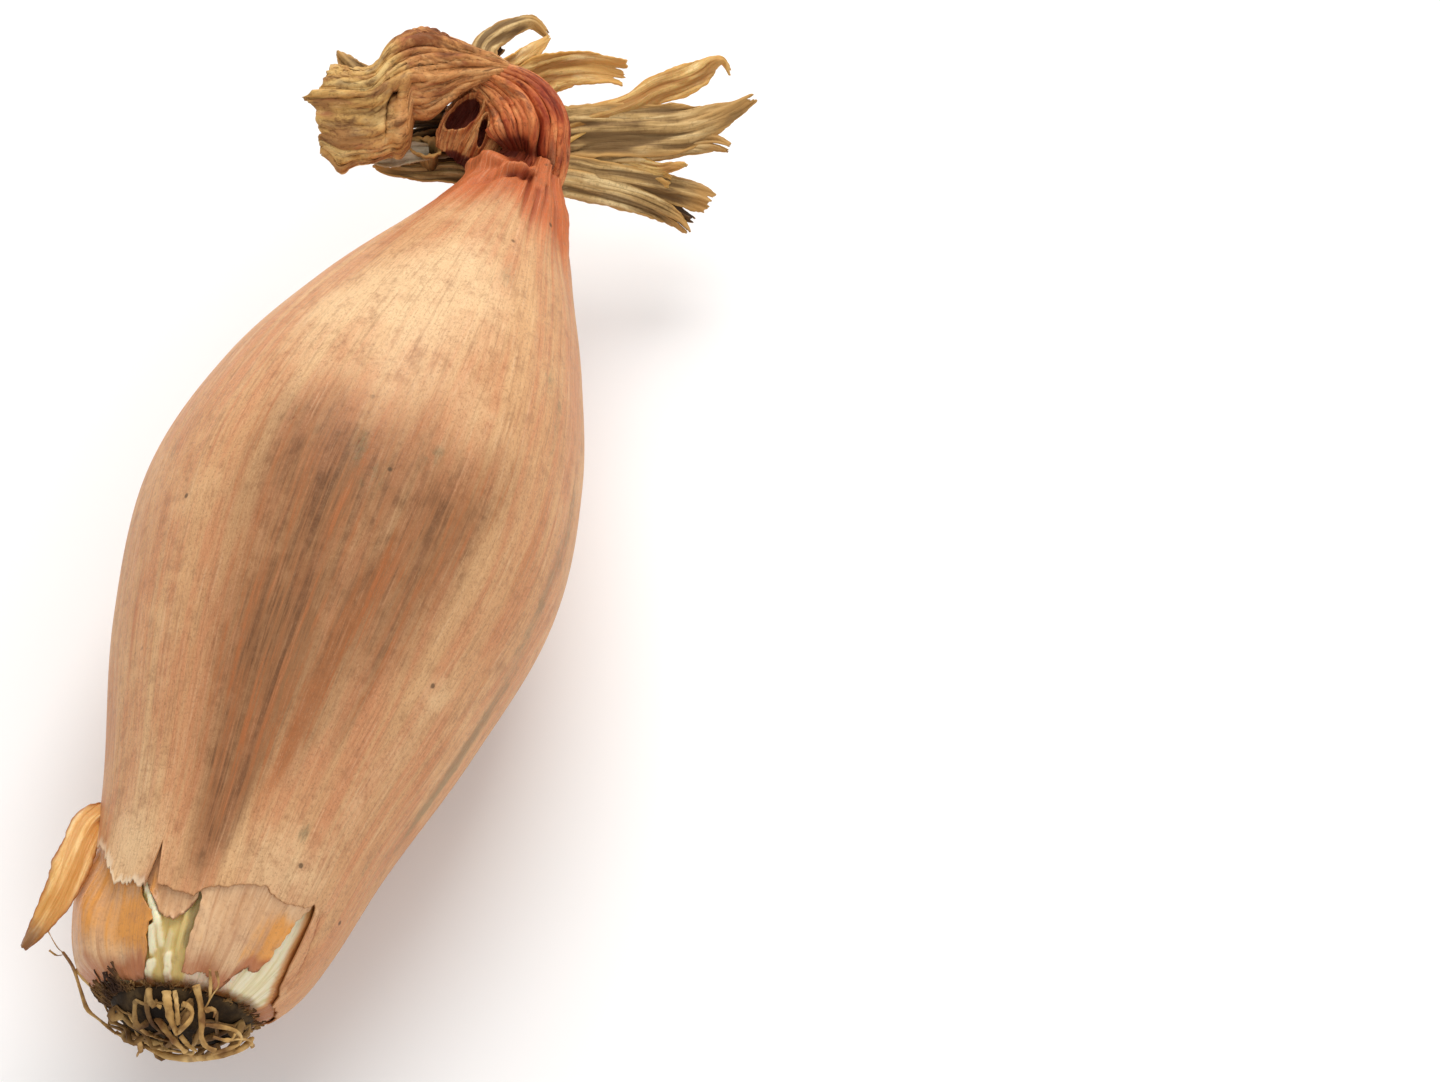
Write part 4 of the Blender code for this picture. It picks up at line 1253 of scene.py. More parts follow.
def sleeve_shift(turn, v):
    """The mouth is ragged. Its lower half sags: a rolled edge hangs below the narrower part behind it."""
    around = ring(turn)
    below = -math.cos(turn)
    ragged = 1.5 * hill(below, -0.05, 0.22) - 1.1 * share(-below, 0.4, 1.0)
    ragged += 0.6 * noise.noise(around * 5.0) + 0.25 * noise.noise(around * 14.0)
    ragged -= 0.4 * share(below, 0.5, 1.0)
    start = 0.505 + 0.02 * noise_1d(below * 3, 4) + 0.03 * (1 - share(below, 0.0, 0.6))
    hang = (3.1 - 1.0 * share(v, 0.86, 1.0)) * share(v, start, start + 0.035)
    corner = 0.9 * hill(v, 0.90, 0.04) * share(below, 0.75, 1.0)
    return share(v, 0.84, 1.0) * ragged, hang * share(below, -0.05, 0.85) + corner


# The collar's folds: angle round it in degrees from its right edge, width, depth in mm, and where along it.
COLLAR_FOLDS = [
    (66, 5.0, 1.30, 0.30, 0.85), (94, 4.0, 0.45, 0.34, 0.72), (103, 4.0, 0.55, 0.30, 0.66),
    (113, 3.5, 0.35, 0.36, 0.60), (52, 3.5, 0.40, 0.30, 0.92), (40, 3.5, 0.55, 0.26, 0.95),
    (24, 3.5, 0.45, 0.30, 0.95), (9, 3.5, 0.70, 0.25, 1.0), (84, 3.0, 0.30, 0.40, 0.62),
    (128, 5.0, 0.50, 0.30, 0.60), (146, 5.0, 0.50, 0.30, 0.70), (-16, 5.0, 0.60, 0.20, 1.0),
    (200, 7.0, 0.60, 0.20, 1.0), (240, 7.0, 0.60, 0.20, 1.0), (285, 7.0, 0.60, 0.20, 1.0),
]


def collar_relief(turn, v):
    degrees = math.degrees(turn) + 7 * noise.noise(ring(turn, v * 3.0))
    lift = 0.0
    for middle, width, depth, start, end in COLLAR_FOLDS:
        reach = window(v, start - 0.15, start, end, end + 0.2)
        lift -= depth * reach * hill(wrapped(degrees - middle), 0.0, width)
    around = ring(turn)
    lift += 0.22 * folds(around * 4.0 + Vector((0, 0, v * 1.5)), 6)
    lift += 0.14 * folds(around * 10.0 + Vector((0, 0, v * 3.0)), 7)
    ridge = 0.45 * hill(wrapped(degrees - 78), 0.0, 6.0) * (1 - share(v, 0.7, 0.9))
    # The hollow is a recess above the lip, and the crease mask also darkens it with painted shade.
    hollow = 2.0 * hill(v, 0.345, 0.060) * window(degrees, 40, 96, 215, 240)
    return 0.30 + lift + ridge - hollow


sleeve_frames = path_frames(SLEEVE, 200, TOWARDS_ROOT_SKY, side=SLEEVE_STANDS)
collar_frames = path_frames(COLLAR, 130, TOWARDS_ROOT_SKY)
folded_sheath = rolled_sheath(
    "folded_sheath", sleeve_frames, SLEEVE_LENGTH, sleeve_relief, 170, 220, sleeve_shift,
)
neck_collar = rolled_sheath("neck_collar", collar_frames, COLLAR_LENGTH, collar_relief, 130, 120)


# %% The sheath's finish
def sheath_finish(name, near, far, start, end, deep, light):
    """near and far are (dark, main, light) sets that meet between start and end along the sheath."""
    finish = Finish(name, 0.6, Specular_IOR_Level=0.2)
    streaks = finish.noise(finish.cylinder(2.6, 0.16), detail=4.0, rough=0.65, distortion=0.35)
    fibres = finish.noise(finish.cylinder(10.0, 0.40), detail=4.0, rough=0.65, distortion=0.3)
    grain = finish.noise(finish.place(), scale=2600.0, detail=2.0, rough=0.7)
    patches = finish.noise(finish.place(), scale=230.0, detail=4.0)
    sets = [
        finish.ramp(streaks, (0.36, tones[0]), (0.48, tones[1]), (0.62, tones[2])) for tones in (near, far)
    ]
    where = finish.plus(finish.mask("along"), finish.centred(patches, 0.7))
    colour = finish.mix(finish.fade(where, start, end), sets[0], sets[1])
    dust = finish.noise(finish.cylinder(5.0, 0.26), detail=3.0, rough=0.6, distortion=0.3)
    colour = finish.tint(colour, dust, 0.54, 0.72, 0.55, (0.27, 0.165, 0.085))
    colour = finish.tint(colour, dust, 0.46, 0.28, 0.45, (0.44, 0.13, 0.06))
    colour = finish.tint(colour, fibres, 0.48, 0.30, 0.75, deep)
    colour = finish.tint(colour, fibres, 0.54, 0.72, 0.45, light)
    colour = finish.tint(colour, grain, 0.5, 0.28, 0.4, deep)
    # Painted shade: the valleys of the folds, the hollow and the tuck by the pinch are darkened by their
    # depth.
    colour = finish.tint(colour, finish.mask("shaded_crease"), 0.28, 0.85, 0.88, deep)
    height = finish.plus(streaks, finish.times(fibres, 0.7))
    return finish.finish(colour, height, 0.30 * MM)


sleeve_material = sheath_finish(
    "dried_sleeve", ((0.24, 0.075, 0.022), (0.53, 0.225, 0.070), (0.66, 0.34, 0.125)),
    ((0.36, 0.17, 0.055), (0.60, 0.345, 0.105), (0.78, 0.53, 0.21)), 0.50, 0.78, (0.11, 0.036, 0.010),
    (0.70, 0.42, 0.18),
)
collar_material = sheath_finish(
    "red_collar", ((0.28, 0.036, 0.010), (0.56, 0.140, 0.042), (0.74, 0.28, 0.095)),
    ((0.34, 0.07, 0.020), (0.58, 0.19, 0.055), (0.74, 0.34, 0.12)), 0.50, 0.80, (0.09, 0.007, 0.003),
    (0.78, 0.35, 0.13),
)
settle(folded_sheath, sleeve_material, "dried_sheath", "folded_leaf")
settle(neck_collar, collar_material, "dried_sheath", "folded_leaf")


# %% The pockets
POCKET_WAY = Vector((0.97, -0.18, 0.12)).normalized()       # the pockets' long way, up towards the pinch
POCKET_OUT = (TOWARDS_ROOT_SKY - POCKET_WAY * TOWARDS_ROOT_SKY.dot(POCKET_WAY)).normalized()
POCKET_SIDE = POCKET_WAY.cross(POCKET_OUT)                  # towards the right-hand side
POCKET_CENTRE = beside_axis(103.7, 7.3, 2.9)
POCKET_SPAN = (9.8, 4.6)        # the sheet's length, and how far it runs to the right, in mm
# Each pocket: how far along and to the right it lies, half its length and width, its lean and its depth.
POCKETS = [
    (0.4, -1.15, 2.5, 1.25, 0.16, 1.7), (-0.3, 1.55, 1.75, 0.46, -0.30, 1.5),
]


def pocket_reach(along, aside, pocket):
    """How far out from a pocket's middle a point lies: 1 on its rim."""
    middle_along, middle_aside, half_long, half_wide, lean, _ = pocket
    x, y = along - middle_along, aside - middle_aside
    x, y = x * math.cos(lean) + y * math.sin(lean), y * math.cos(lean) - x * math.sin(lean)
    wobble = 1 + 0.16 * noise.noise(Vector((math.atan2(y, x) * 1.3, half_long, 0.0)))
    return math.hypot(x / half_long, y / half_wide) / wobble


def pocket_depth(along, aside):
    """The pockets are round pits, and below them the sheet sinks into the fold above the lip."""
    reaches = [(pocket_reach(along, aside, pocket), pocket[5]) for pocket in POCKETS]
    pits = max(deep * math.sqrt(max(0.0, 1 - reach ** 2)) for reach, deep in reaches)
    return max(pits, 1.3 * share(-along, 2.2, 4.6) * share(aside, -3.2, 1.4))


def pocket_at(u, v):
    """The sheet ends in a round edge just outside the wide pocket, and runs on under the collar."""
    along = POCKET_SPAN[0] * (v - 0.42)
    left = -1.0 - 2.0 * math.sqrt(max(0.0, 1 - ((along - 0.4) / 5.0) ** 2)) - 2.1 * share(along, 1.4, 3.2)
    return along, left + (POCKET_SPAN[1] - left) * u


def pocket_place(u, v):
    along, aside = pocket_at(u, v)
    rims = sum(0.55 * hill(pocket_reach(along, aside, p), 1.12, 0.13) for p in POCKETS)
    lift = -0.055 * (along ** 2 + 1.2 * aside ** 2) + rims - pocket_depth(along, aside)
    lift += 0.55 * folds(Vector((aside * 0.65, along * 0.16, 0.0)), 12)
    lift += 0.30 * folds(Vector((aside * 1.7, along * 0.30, 0.0)), 13)
    return POCKET_CENTRE + (POCKET_WAY * along + POCKET_SIDE * aside + POCKET_OUT * lift) * MM


# Painted shade: how deep the pits and the fold above the lip sink, from 0 to 1.
def pocket_shade(u, v):
    along, aside = pocket_at(u, v)
    return share(pocket_depth(along, aside), 0.1, 1.1)


# The far set is painted shade: the pits and the fold above the lip darken with their depth.
shaded_pocket_material = sheath_finish(
    "pocket", ((0.30, 0.060, 0.018), (0.56, 0.200, 0.060), (0.72, 0.36, 0.13)),
    ((0.10, 0.014, 0.005), (0.19, 0.032, 0.011), (0.28, 0.070, 0.024)), 0.35, 0.65, (0.075, 0.009, 0.004),
    (0.70, 0.36, 0.15),
)
pockets = make_sheet("neck_pockets", 130, 130, pocket_place, lambda u, v: (u, 8 * v), {
    "along": pocket_shade, "shaded_crease": pocket_shade,
})
thicken(pockets, 0.16 * MM)
settle(pockets, shaded_pocket_material, "dried_sheath", "folded_leaf")

# %% [markdown]
# ## The straw blades
#
# Older leaves dried to stiff straw and splay out from behind the sheath. Each has its own path and width, and
# its own way of drying: cupped or flat, twisted, split at the tip or hooked. Their edges roll up, which makes
# them pale or amber, while the valleys between their ribs are darkened with painted shade. The darkest straw
# is partly painted shade, for the blades that lie in shadow under the sleeve. One more has rolled up into a
# tube.

# %% The blades
# Station, left, up and half width, in mm.
BLADES = {
    "crown_curl": [
        (97.6, 1.2, -2.2, 1.0), (104.0, 3.0, -2.2, 1.2), (110.0, 7.6, -2.0, 1.5), (114.6, 10.3, -2.2, 1.5),
        (117.6, 9.6, -2.8, 1.2), (119.8, 8.2, -3.5, 0.9), (120.8, 6.9, -4.2, 0.7), (120.4, 5.2, -5.5, 0.25),
    ],
    "dark_tip": [
        (97.6, 1.0, -2.4, 0.8), (108.0, 6.8, -3.2, 1.0), (113.3, 10.0, -3.2, 1.1), (116.3, 8.9, -3.4, 0.3),
    ],
    "spike": [
        (97.6, 0.9, -2.3, 1.0), (106.5, 4.4, -2.2, 1.3), (112.6, 7.0, -2.2, 1.3), (115.1, 6.3, -2.6, 1.0),
        (117.3, 5.4, -3.2, 0.7), (119.5, 4.7, -4.0, 0.2),
    ],
    "amber": [
        (97.6, 0.6, -2.4, 1.2), (106.0, 3.4, -2.5, 1.6), (111.4, 4.8, -2.9, 2.0), (114.0, 3.7, -3.3, 2.2),
        (115.8, 2.1, -3.8, 2.1), (117.4, -0.1, -4.5, 1.8), (118.2, -2.3, -5.0, 1.45), (118.3, -4.7, -4.8, 1.3),
    ],
    "hook": [
        (97.6, 0.4, -2.3, 1.1), (105.0, 0.6, -3.2, 1.4), (110.5, -1.6, -4.6, 1.5), (115.2, -5.9, -6.0, 1.3),
        (118.3, -8.1, -6.3, 1.6), (120.2, -10.2, -6.5, 1.7), (122.0, -11.8, -6.6, 1.4),
        (123.6, -12.8, -6.7, 0.8), (124.4, -13.6, -7.2, 0.45), (123.9, -14.6, -8.4, 0.15),
    ],
    "broad": [
        (97.6, 0.2, -2.3, 1.8), (103.0, 0.6, -2.6, 2.4), (107.6, 0.3, -3.2, 2.7), (109.5, -1.8, -4.4, 2.9),
        (111.4, -4.4, -5.8, 2.9), (113.5, -8.1, -7.1, 2.9), (115.5, -11.9, -7.7, 2.6),
        (117.3, -14.6, -7.6, 1.7), (119.2, -16.8, -7.2, 0.9), (121.0, -18.5, -6.6, 0.5),
    ],
    "fork": [
        (97.6, 0.2, -2.6, 1.2), (105.5, -0.4, -4.0, 1.5), (110.3, -5.6, -7.0, 1.8), (112.9, -10.0, -8.4, 1.7),
        (114.4, -13.3, -8.5, 1.3), (115.2, -15.8, -8.4, 0.9), (115.0, -17.8, -8.2, 0.5),
    ],
    "thin": [
        (97.6, 0.2, -2.4, 1.0), (104.0, -0.6, -4.2, 1.2), (108.7, -5.3, -7.2, 1.2), (110.0, -8.2, -8.6, 1.0),
        (110.6, -10.8, -9.2, 0.7), (111.4, -12.4, -9.2, 0.5), (112.0, -13.8, -8.8, 0.2),
    ],
    "amber_low": [
        (97.6, 0.1, -2.4, 1.0), (103.5, -1.2, -4.4, 1.3), (107.6, -5.2, -7.8, 1.5), (109.2, -8.3, -9.1, 1.6),
        (109.8, -10.6, -9.8, 1.3), (109.9, -12.6, -10.0, 0.5),
    ],
    "round_end": [
        (97.6, 0.0, -2.4, 1.2), (104.4, -1.7, -4.8, 1.5), (107.0, -5.8, -7.6, 1.6), (108.7, -9.6, -9.8, 1.6),
        (109.6, -12.6, -11.0, 1.5), (110.0, -15.3, -11.8, 1.5), (109.8, -17.3, -12.0, 1.1),
    ],
    "low_point": [
        (97.6, -0.2, -2.4, 1.1), (103.0, -1.8, -4.6, 1.4), (105.2, -5.3, -7.4, 1.6), (106.5, -8.7, -9.7, 1.5),
        (107.1, -11.8, -11.5, 1.2), (107.0, -14.1, -12.6, 0.8), (106.2, -15.9, -13.2, 0.25),
    ],
    "low_point_back": [
        (97.6, -0.1, -2.4, 1.0), (103.8, -2.2, -5.2, 1.2), (106.8, -5.8, -8.4, 1.3), (107.8, -9.9, -10.8, 1.2),
        (108.0, -13.2, -12.3, 0.9), (107.7, -16.0, -12.8, 0.3),
    ],
    "left_tuft": [
        (97.6, 0.8, -2.3, 1.2), (101.5, 1.0, -2.8, 1.6), (104.0, 4.2, -3.0, 2.6), (103.8, 8.4, -2.4, 3.6),
        (102.2, 12.0, -1.4, 3.6), (100.2, 14.8, -0.4, 2.4), (98.6, 16.6, 0.4, 1.0),
    ],
    "left_shred": [
        (97.6, 0.6, -2.4, 1.0), (101.0, 1.6, -2.7, 1.3), (103.0, 5.4, -2.4, 1.6), (102.6, 9.4, -1.2, 1.7),
        (100.6, 12.4, -0.4, 1.3), (99.0, 14.6, 0.6, 0.5),
    ],
    "left_low": [
        (97.6, 0.6, -2.4, 0.9), (99.6, 3.6, -2.8, 1.2), (99.8, 7.7, -2.4, 1.3), (98.2, 11.4, -1.8, 1.1),
        (97.2, 14.0, -1.0, 0.9), (97.0, 16.2, -0.2, 0.3),
    ],
    "left_tip": [
        (102.4, 15.2, 4.2, 0.8), (103.4, 17.6, 4.4, 1.4), (104.2, 20.2, 4.6, 1.3),
        (105.2, 22.2, 4.8, 0.8), (105.9, 23.3, 5.0, 0.1),
    ],
    "left_flap": [
        (99.8, 11.0, 0.2, 0.8), (98.7, 13.0, 1.0, 1.3), (97.5, 14.9, 1.0, 1.1), (96.8, 16.9, 0.8, 0.3),
    ],
}

straw_amber = leaf_finish(
    "straw_amber", (0.34, 0.155, 0.032), (0.68, 0.430, 0.140), (0.88, 0.68, 0.35), (0.62, 0.32, 0.07), 0.55,
    glow=0.08, tip=(0.60, 0.33, 0.09),
)
straw_pale = leaf_finish(
    "straw_pale", (0.15, 0.078, 0.024), (0.52, 0.325, 0.120), (0.80, 0.60, 0.30), (0.52, 0.28, 0.08), 0.6,
    tip=(0.50, 0.27, 0.08),
)
straw_grey = leaf_finish(
    "straw_grey", (0.20, 0.14, 0.08), (0.46, 0.39, 0.27), (0.62, 0.56, 0.42), (0.42, 0.30, 0.16), 0.6,
)
# Partly real dark straw, partly painted shade for the blades that lie in shadow under the sleeve.
straw_dark_and_shaded = leaf_finish(
    "straw_dark_and_shaded", (0.040, 0.018, 0.007), (0.15, 0.075, 0.024), (0.34, 0.205, 0.08), (0.24, 0.125, 0.04), 0.6,
)
# Finish, cup, rib depth, edge curl, twist and splits of each blade.
BLADE_WAYS = {
    "crown_curl": (straw_pale, 0.5, 0.25, 0.9, 0.35, ()),
    "dark_tip": (straw_dark_and_shaded, 0.3, 0.25, 0.4, 0.20, ()),
    "spike": (straw_amber, 0.4, 0.20, 0.6, 0.30, ()),
    "amber": (straw_amber, -0.5, 0.35, 1.1, 0.25, ((0.34, 0.07), (0.72, 0.04))),
    "hook": (straw_amber, 0.7, 0.35, 0.8, -0.30, ()),
    "broad": (straw_pale, 0.6, 0.50, 0.7, 0.12, ()),
    "fork": (straw_pale, 0.2, 0.40, 0.5, 0.20, ((0.55, 0.22),)),
    "thin": (straw_amber, 0.3, 0.25, 0.6, 0.50, ()),
    "amber_low": (straw_amber, 0.2, 0.30, 0.5, 0.30, ((0.4, 0.12),)),
    "round_end": (straw_pale, 0.7, 0.35, 0.6, 0.25, ((0.3, 0.05),)),
    "low_point": (straw_pale, 0.5, 0.40, 0.5, 0.25, ((0.6, 0.25),)),
    "low_point_back": (straw_dark_and_shaded, 0.3, 0.35, 0.5, 0.30, ((0.45, 0.20),)),
    "left_tuft": (straw_dark_and_shaded, 0.4, 0.60, 0.8, 0.30, ((0.3, 0.2), (0.7, 0.3))),
    "left_shred": (straw_dark_and_shaded, 0.5, 0.50, 1.0, 0.50, ((0.5, 0.3),)),
    "left_low": (straw_pale, 0.3, 0.35, 0.8, 0.50, ((0.6, 0.15),)),
    "left_tip": (straw_pale, 0.3, 0.35, 0.4, 0.10, ()),
    "left_flap": (straw_grey, 0.2, 0.30, 0.6, 0.20, ((0.4, 0.1),)),
}
for seed, (name, path) in enumerate(BLADES.items(), start=51):
    material, cup, ribs, curl, twist, splits = BLADE_WAYS[name]
    blade = leaf_sheet(
        "blade_" + name, path, TOWARDS_ROOT_SKY, seed, cup, ribs, curl, twist=twist, splits=splits,
    )
    settle(blade, material, "straw_blades", "straw_leaves")

# %% The rolled blade
# Its open end looks at the sky. Station, left, up, half width and half depth, in mm.
ROLLED_BLADE = [
    (99.4, 10.9, -2.4, 0.5, 0.4), (99.6, 11.1, -1.2, 0.8, 0.6), (99.8, 11.3, 0.0, 1.1, 0.8),
    (99.9, 11.3, 0.8, 1.5, 1.0), (100.0, 11.4, 1.1, 1.9, 1.2),
]
ROLLED_LENGTH = 4.0


def blade_relief(turn, v):
    around = ring(turn)
    return 0.9 * noise.noise(around * 1.6 + Vector((0, 0, v * 2.0))) + 0.4 * folds(around * 3.0, 8)


rolled_frames = path_frames(ROLLED_BLADE, 40, Vector((1.0, 0.0, 0.0)), side=Vector((0.0, 1.0, 0.0)))
rolled_blade = rolled_sheath("rolled_blade", rolled_frames, ROLLED_LENGTH, blade_relief, 60, 40)
settle(rolled_blade, straw_pale, "straw_blades", "straw_leaves")

# %% [markdown]
# ## The root plate and the roots
#
# The roots dried into a dark woody plate with a tangle of flat, curling strings. The plate is a rough dome. A
# root is a curve that a flat oval is drawn along, because dried roots shrink to ribbons. Those that lie on top
# each follow their own points, and the ones behind them are random walks that stay in their zone, coloured as
# a
# darker copy of the roots: painted shade. Short bristles, which are old and broken roots, lie matted on the
# bulb's end.

# %% The plate
PLATE_RADIUS = 7.0 * MM
PLATE_DOME = 2.8 * MM


def plate_place(u, v):
    angle = 2 * math.pi * u
    rough = noise.noise(Vector((9 * v * math.cos(angle), 9 * v * math.sin(angle), 2.0)))
    radius = PLATE_RADIUS * v * (1 + 0.05 * noise_1d(6 * math.cos(angle) + 3 * math.sin(angle), 6))
    depth = PLATE_DOME * (1 - v ** 3) + 0.35 * MM * rough * (1 - v ** 4)
    point = axis_point(ROOT_STATION) + Vector((-depth, -radius * math.sin(angle), radius * math.cos(angle)))
    point.x -= ROOT_SLANT * point.y
    return lay(point)


def root_finish(name, dark, main, light, roughness):
    finish = Finish(name, roughness, Specular_IOR_Level=0.25)
    grain = finish.noise(finish.place(), scale=900.0, detail=3.0, rough=0.6)
    clumps = finish.noise(finish.place(), scale=260.0, detail=3.0, rough=0.6)
    colour = finish.ramp(clumps, (0.36, dark), (0.5, main), (0.66, light))
    colour = finish.tint(colour, grain, 0.48, 0.3, 0.6, dark)
    return finish.finish(colour, grain, 0.25 * MM)


plate_material = root_finish(
    "root_plate", (0.010, 0.005, 0.002), (0.035, 0.019, 0.007), (0.11, 0.065, 0.024), 0.9,
)
root_material = root_finish(
    "dried_roots", (0.20, 0.088, 0.024), (0.52, 0.300, 0.095), (0.74, 0.49, 0.20), 0.62,
)
# A darker copy of the roots' colours: painted shade for the roots that lie behind and under the others.
shaded_root_material = root_finish(
    "shaded_deep_roots", (0.085, 0.036, 0.011), (0.27, 0.145, 0.046), (0.48, 0.30, 0.11), 0.7,
)
# The bristles' lightest tone is partly a painted glint on the matted fibres.
bristle_material = root_finish(
    "root_bristles", (0.035, 0.013, 0.005), (0.11, 0.050, 0.015), (0.33, 0.18, 0.055), 0.75,
)
root_plate = make_sheet("root_plate", 72, 30, plate_place, lambda u, v: (u, v))
close_seam(root_plate)
thicken(root_plate, 0.5 * MM)
settle(root_plate, plate_material, "dried_roots", "root_tuft")


# %% The roots
ROOT_FLATNESS = 0.52    # a dried root's thickness as a share of its width


def root_profile():
    """The flat oval that is drawn along each root."""
    deselect_all()
    bpy.ops.curve.primitive_bezier_circle_add(radius=1.0)
    profile = bpy.context.active_object
    profile.data.resolution_u = 2
    for point in profile.data.splines[0].bezier_points:
        for end in (point.handle_left, point.co, point.handle_right):
            end.y *= ROOT_FLATNESS
    return profile


def root_curve(name, routes):
    """One mesh with a smooth, flat, tapering string for each route of (points, half width, taper)."""
    profile = root_profile()
    deselect_all()
    bpy.ops.curve.primitive_bezier_curve_add(radius=1.0)
    thing = bpy.context.active_object
    thing.name = thing.data.name = name
    curve = thing.data
    curve.splines.clear()
    curve.bevel_mode = "OBJECT"
    curve.bevel_object = profile
    curve.use_fill_caps = True
    for index, (points, half_width, taper) in enumerate(routes):
        spline = curve.splines.new("POLY")
        spline.points.add(len(points) - 1)
        for k, point in enumerate(points):
            along = k / (len(points) - 1)
            uneven = 1 + 0.26 * noise_1d(k * 0.45, index + 3) + 0.14 * noise_1d(k * 1.7, index + 9)
            spline.points[k].co = (*point, 1.0)
            spline.points[k].radius = half_width * (1 - taper * along ** 1.5) * uneven
            spline.points[k].tilt = 2.4 * noise_1d(k * 0.10, index + 5)
    bpy.ops.object.convert(target="MESH")
    thing = bpy.context.active_object
    thing.location = (0.0, 0.0, 0.0)
    bpy.data.objects.remove(profile)
    return thing


# The roots on top: station, left and up in mm at points along each, and then its half width in mm.
MAIN_ROOTS = [
    ([(1.3, 0.7, 7.0), (0.1, 0.1, 7.0), (-1.3, -0.8, 6.3), (-1.9, -1.5, 5.3)], 0.60),
    ([(1.6, 0.0, 7.0), (0.6, -0.6, 7.0), (-0.4, -1.1, 7.1), (-1.2, -1.4, 6.0)], 0.34),
    ([(-0.3, 2.4, 2.0), (-0.8, 1.2, 4.0), (-1.6, 0.0, 3.9), (-2.1, -1.0, 3.0), (-2.3, -2.0, 1.3)], 0.48),
    ([(0.6, -1.2, 7.0), (0.7, -1.7, 6.7), (0.3, -2.3, 6.6), (-0.6, -2.5, 6.8), (-1.6, -2.1, 6.6),
      (-1.9, -1.6, 5.4)], 0.36),
    ([(2.5, -2.0, 7.9), (1.6, -2.6, 6.8), (0.7, -3.1, 6.6), (-0.5, -3.6, 6.3), (-1.7, -4.0, 6.0),
      (-2.2, -4.6, 5.3), (-2.2, -5.5, 4.7)], 0.48),
    ([(-0.4, -3.8, 6.0), (0.1, -5.0, 5.2), (0.6, -6.2, 3.9), (0.5, -6.8, 2.8), (-0.3, -6.8, 2.5),
      (-1.2, -6.2, 3.2), (-2.2, -4.8, 3.0)], 0.42),
    ([(-1.0, 4.4, -4.5), (-1.5, 3.2, -4.0), (-2.0, 1.7, -2.9), (-2.3, 0.0, -2.0), (-2.3, -2.0, -0.5),
      (-2.2, -4.0, 1.2), (-1.6, -6.2, 2.8), (0.2, -7.2, 0.9), (1.5, -7.3, 0.0)], 0.50),
    ([(0.0, 5.8, -1.2), (0.0, 5.2, -0.2), (-0.9, 4.3, -0.2), (-1.6, 3.6, -1.7), (-2.2, 3.5, -4.2)], 0.46),
    ([(-0.5, 2.8, 1.3), (-1.3, 2.1, 0.7), (-1.7, 1.1, 1.0), (-2.0, -0.3, 2.0)], 0.36),
    ([(1.7, -7.2, -0.6), (0.4, -7.2, 1.0), (-0.9, -6.8, 2.3), (-1.8, -5.7, 2.3)], 0.34),
    ([(1.2, 4.8, 2.1), (0.9, 3.7, 4.0), (0.5, 2.4, 5.4), (-0.2, 0.8, 6.3)], 0.36),
    ([(-1.6, -1.5, 3.8), (-2.1, -2.5, 3.2), (-2.3, -3.4, 2.9)], 0.34),
    ([(-1.6, 2.9, -2.2), (-1.9, 1.1, -1.4), (-2.0, -0.8, -0.5), (-2.1, -2.7, 1.0)], 0.40),
    ([(-1.1, -4.9, 5.4), (-1.0, -5.7, 5.0), (-0.4, -6.3, 3.8), (0.3, -6.5, 3.9)], 0.32),
    ([(-0.4, 4.6, 3.0), (-1.4, 3.6, 2.8), (-1.9, 2.4, 2.2), (-2.1, 1.2, 2.4)], 0.34),
]
FINE_ROOTS = [
    ([(2.9, 12.8, 2.9), (2.4, 11.9, 0.7), (1.2, 11.0, -1.9), (0.2, 10.2, -4.2), (-0.3, 8.8, -4.6),
      (-0.8, 7.5, -4.6), (-1.0, 6.7, -5.0), (-0.9, 5.3, -5.3), (-1.2, 4.4, -5.1)], 0.30),
    ([(2.4, 11.7, 0.3), (1.6, 10.0, 0.0), (1.0, 8.6, -0.7), (0.4, 8.0, -2.7), (-0.2, 6.9, -3.5),
      (-0.6, 6.3, -5.1)], 0.26),
    ([(4.4, 15.0, 3.1), (3.8, 14.3, 2.8), (3.3, 13.6, 2.4), (2.9, 12.8, 2.9)], 0.08),
    ([(3.2, 14.7, 1.1), (2.9, 13.8, 1.3), (2.8, 12.8, 2.6)], 0.12),
    ([(3.8, -3.2, 10.0), (2.8, -3.4, 8.0), (1.8, -3.5, 6.8), (0.8, -3.3, 6.5)], 0.20),
    ([(3.9, -3.8, 10.0), (3.1, -4.2, 8.6), (2.2, -3.7, 7.3), (1.0, -3.4, 6.7)], 0.16),
    ([(0.7, -3.5, 6.6), (1.1, -3.9, 6.6), (1.2, -4.3, 6.2), (0.5, -4.4, 6.2)], 0.30),
    ([(1.0, -7.5, -1.1), (0.8, -7.3, 1.4), (0.0, -6.7, 3.2), (-0.9, -5.9, 4.3)], 0.26),
    ([(-2.1, 3.5, -3.8), (-2.2, 3.9, -5.0), (-2.3, 4.1, -6.0)], 0.20),
    ([(-0.8, 6.9, -5.4), (-1.0, 6.1, -5.2), (-1.3, 5.1, -5.5), (-1.6, 3.9, -4.3)], 0.24),
]
ROUTE_STEPS = 26
MAIN_SHARE = 0.80       # the thick roots are drawn at this share of their half width
MAIN_TAPER = 0.25
DEEP_TAPER = 0.45
THIN_TAPER = 0.6
ROOT_ZONE = 6.3 * MM
ROOT_LOWEST = -3.6 * MM
ROOT_DEPTH = 0.9 * MM       # how thick the layer of roots over the plate is


def laid_routes(table, width_share, taper):
    """A route along the points of each root in a table."""
    return [
        ([beside_axis(*row) for row in smooth_path(rows, ROUTE_STEPS)], width_share * half_width * MM, taper)
        for rows, half_width in table
    ]


def over_plate(point):
    """The station just outside the plate's dome at a point."""
    reach = math.hypot(point.y, point.z) / PLATE_RADIUS
    return ROOT_STATION - PLATE_DOME * max(0.0, 1 - reach ** 3) - 0.3 * MM


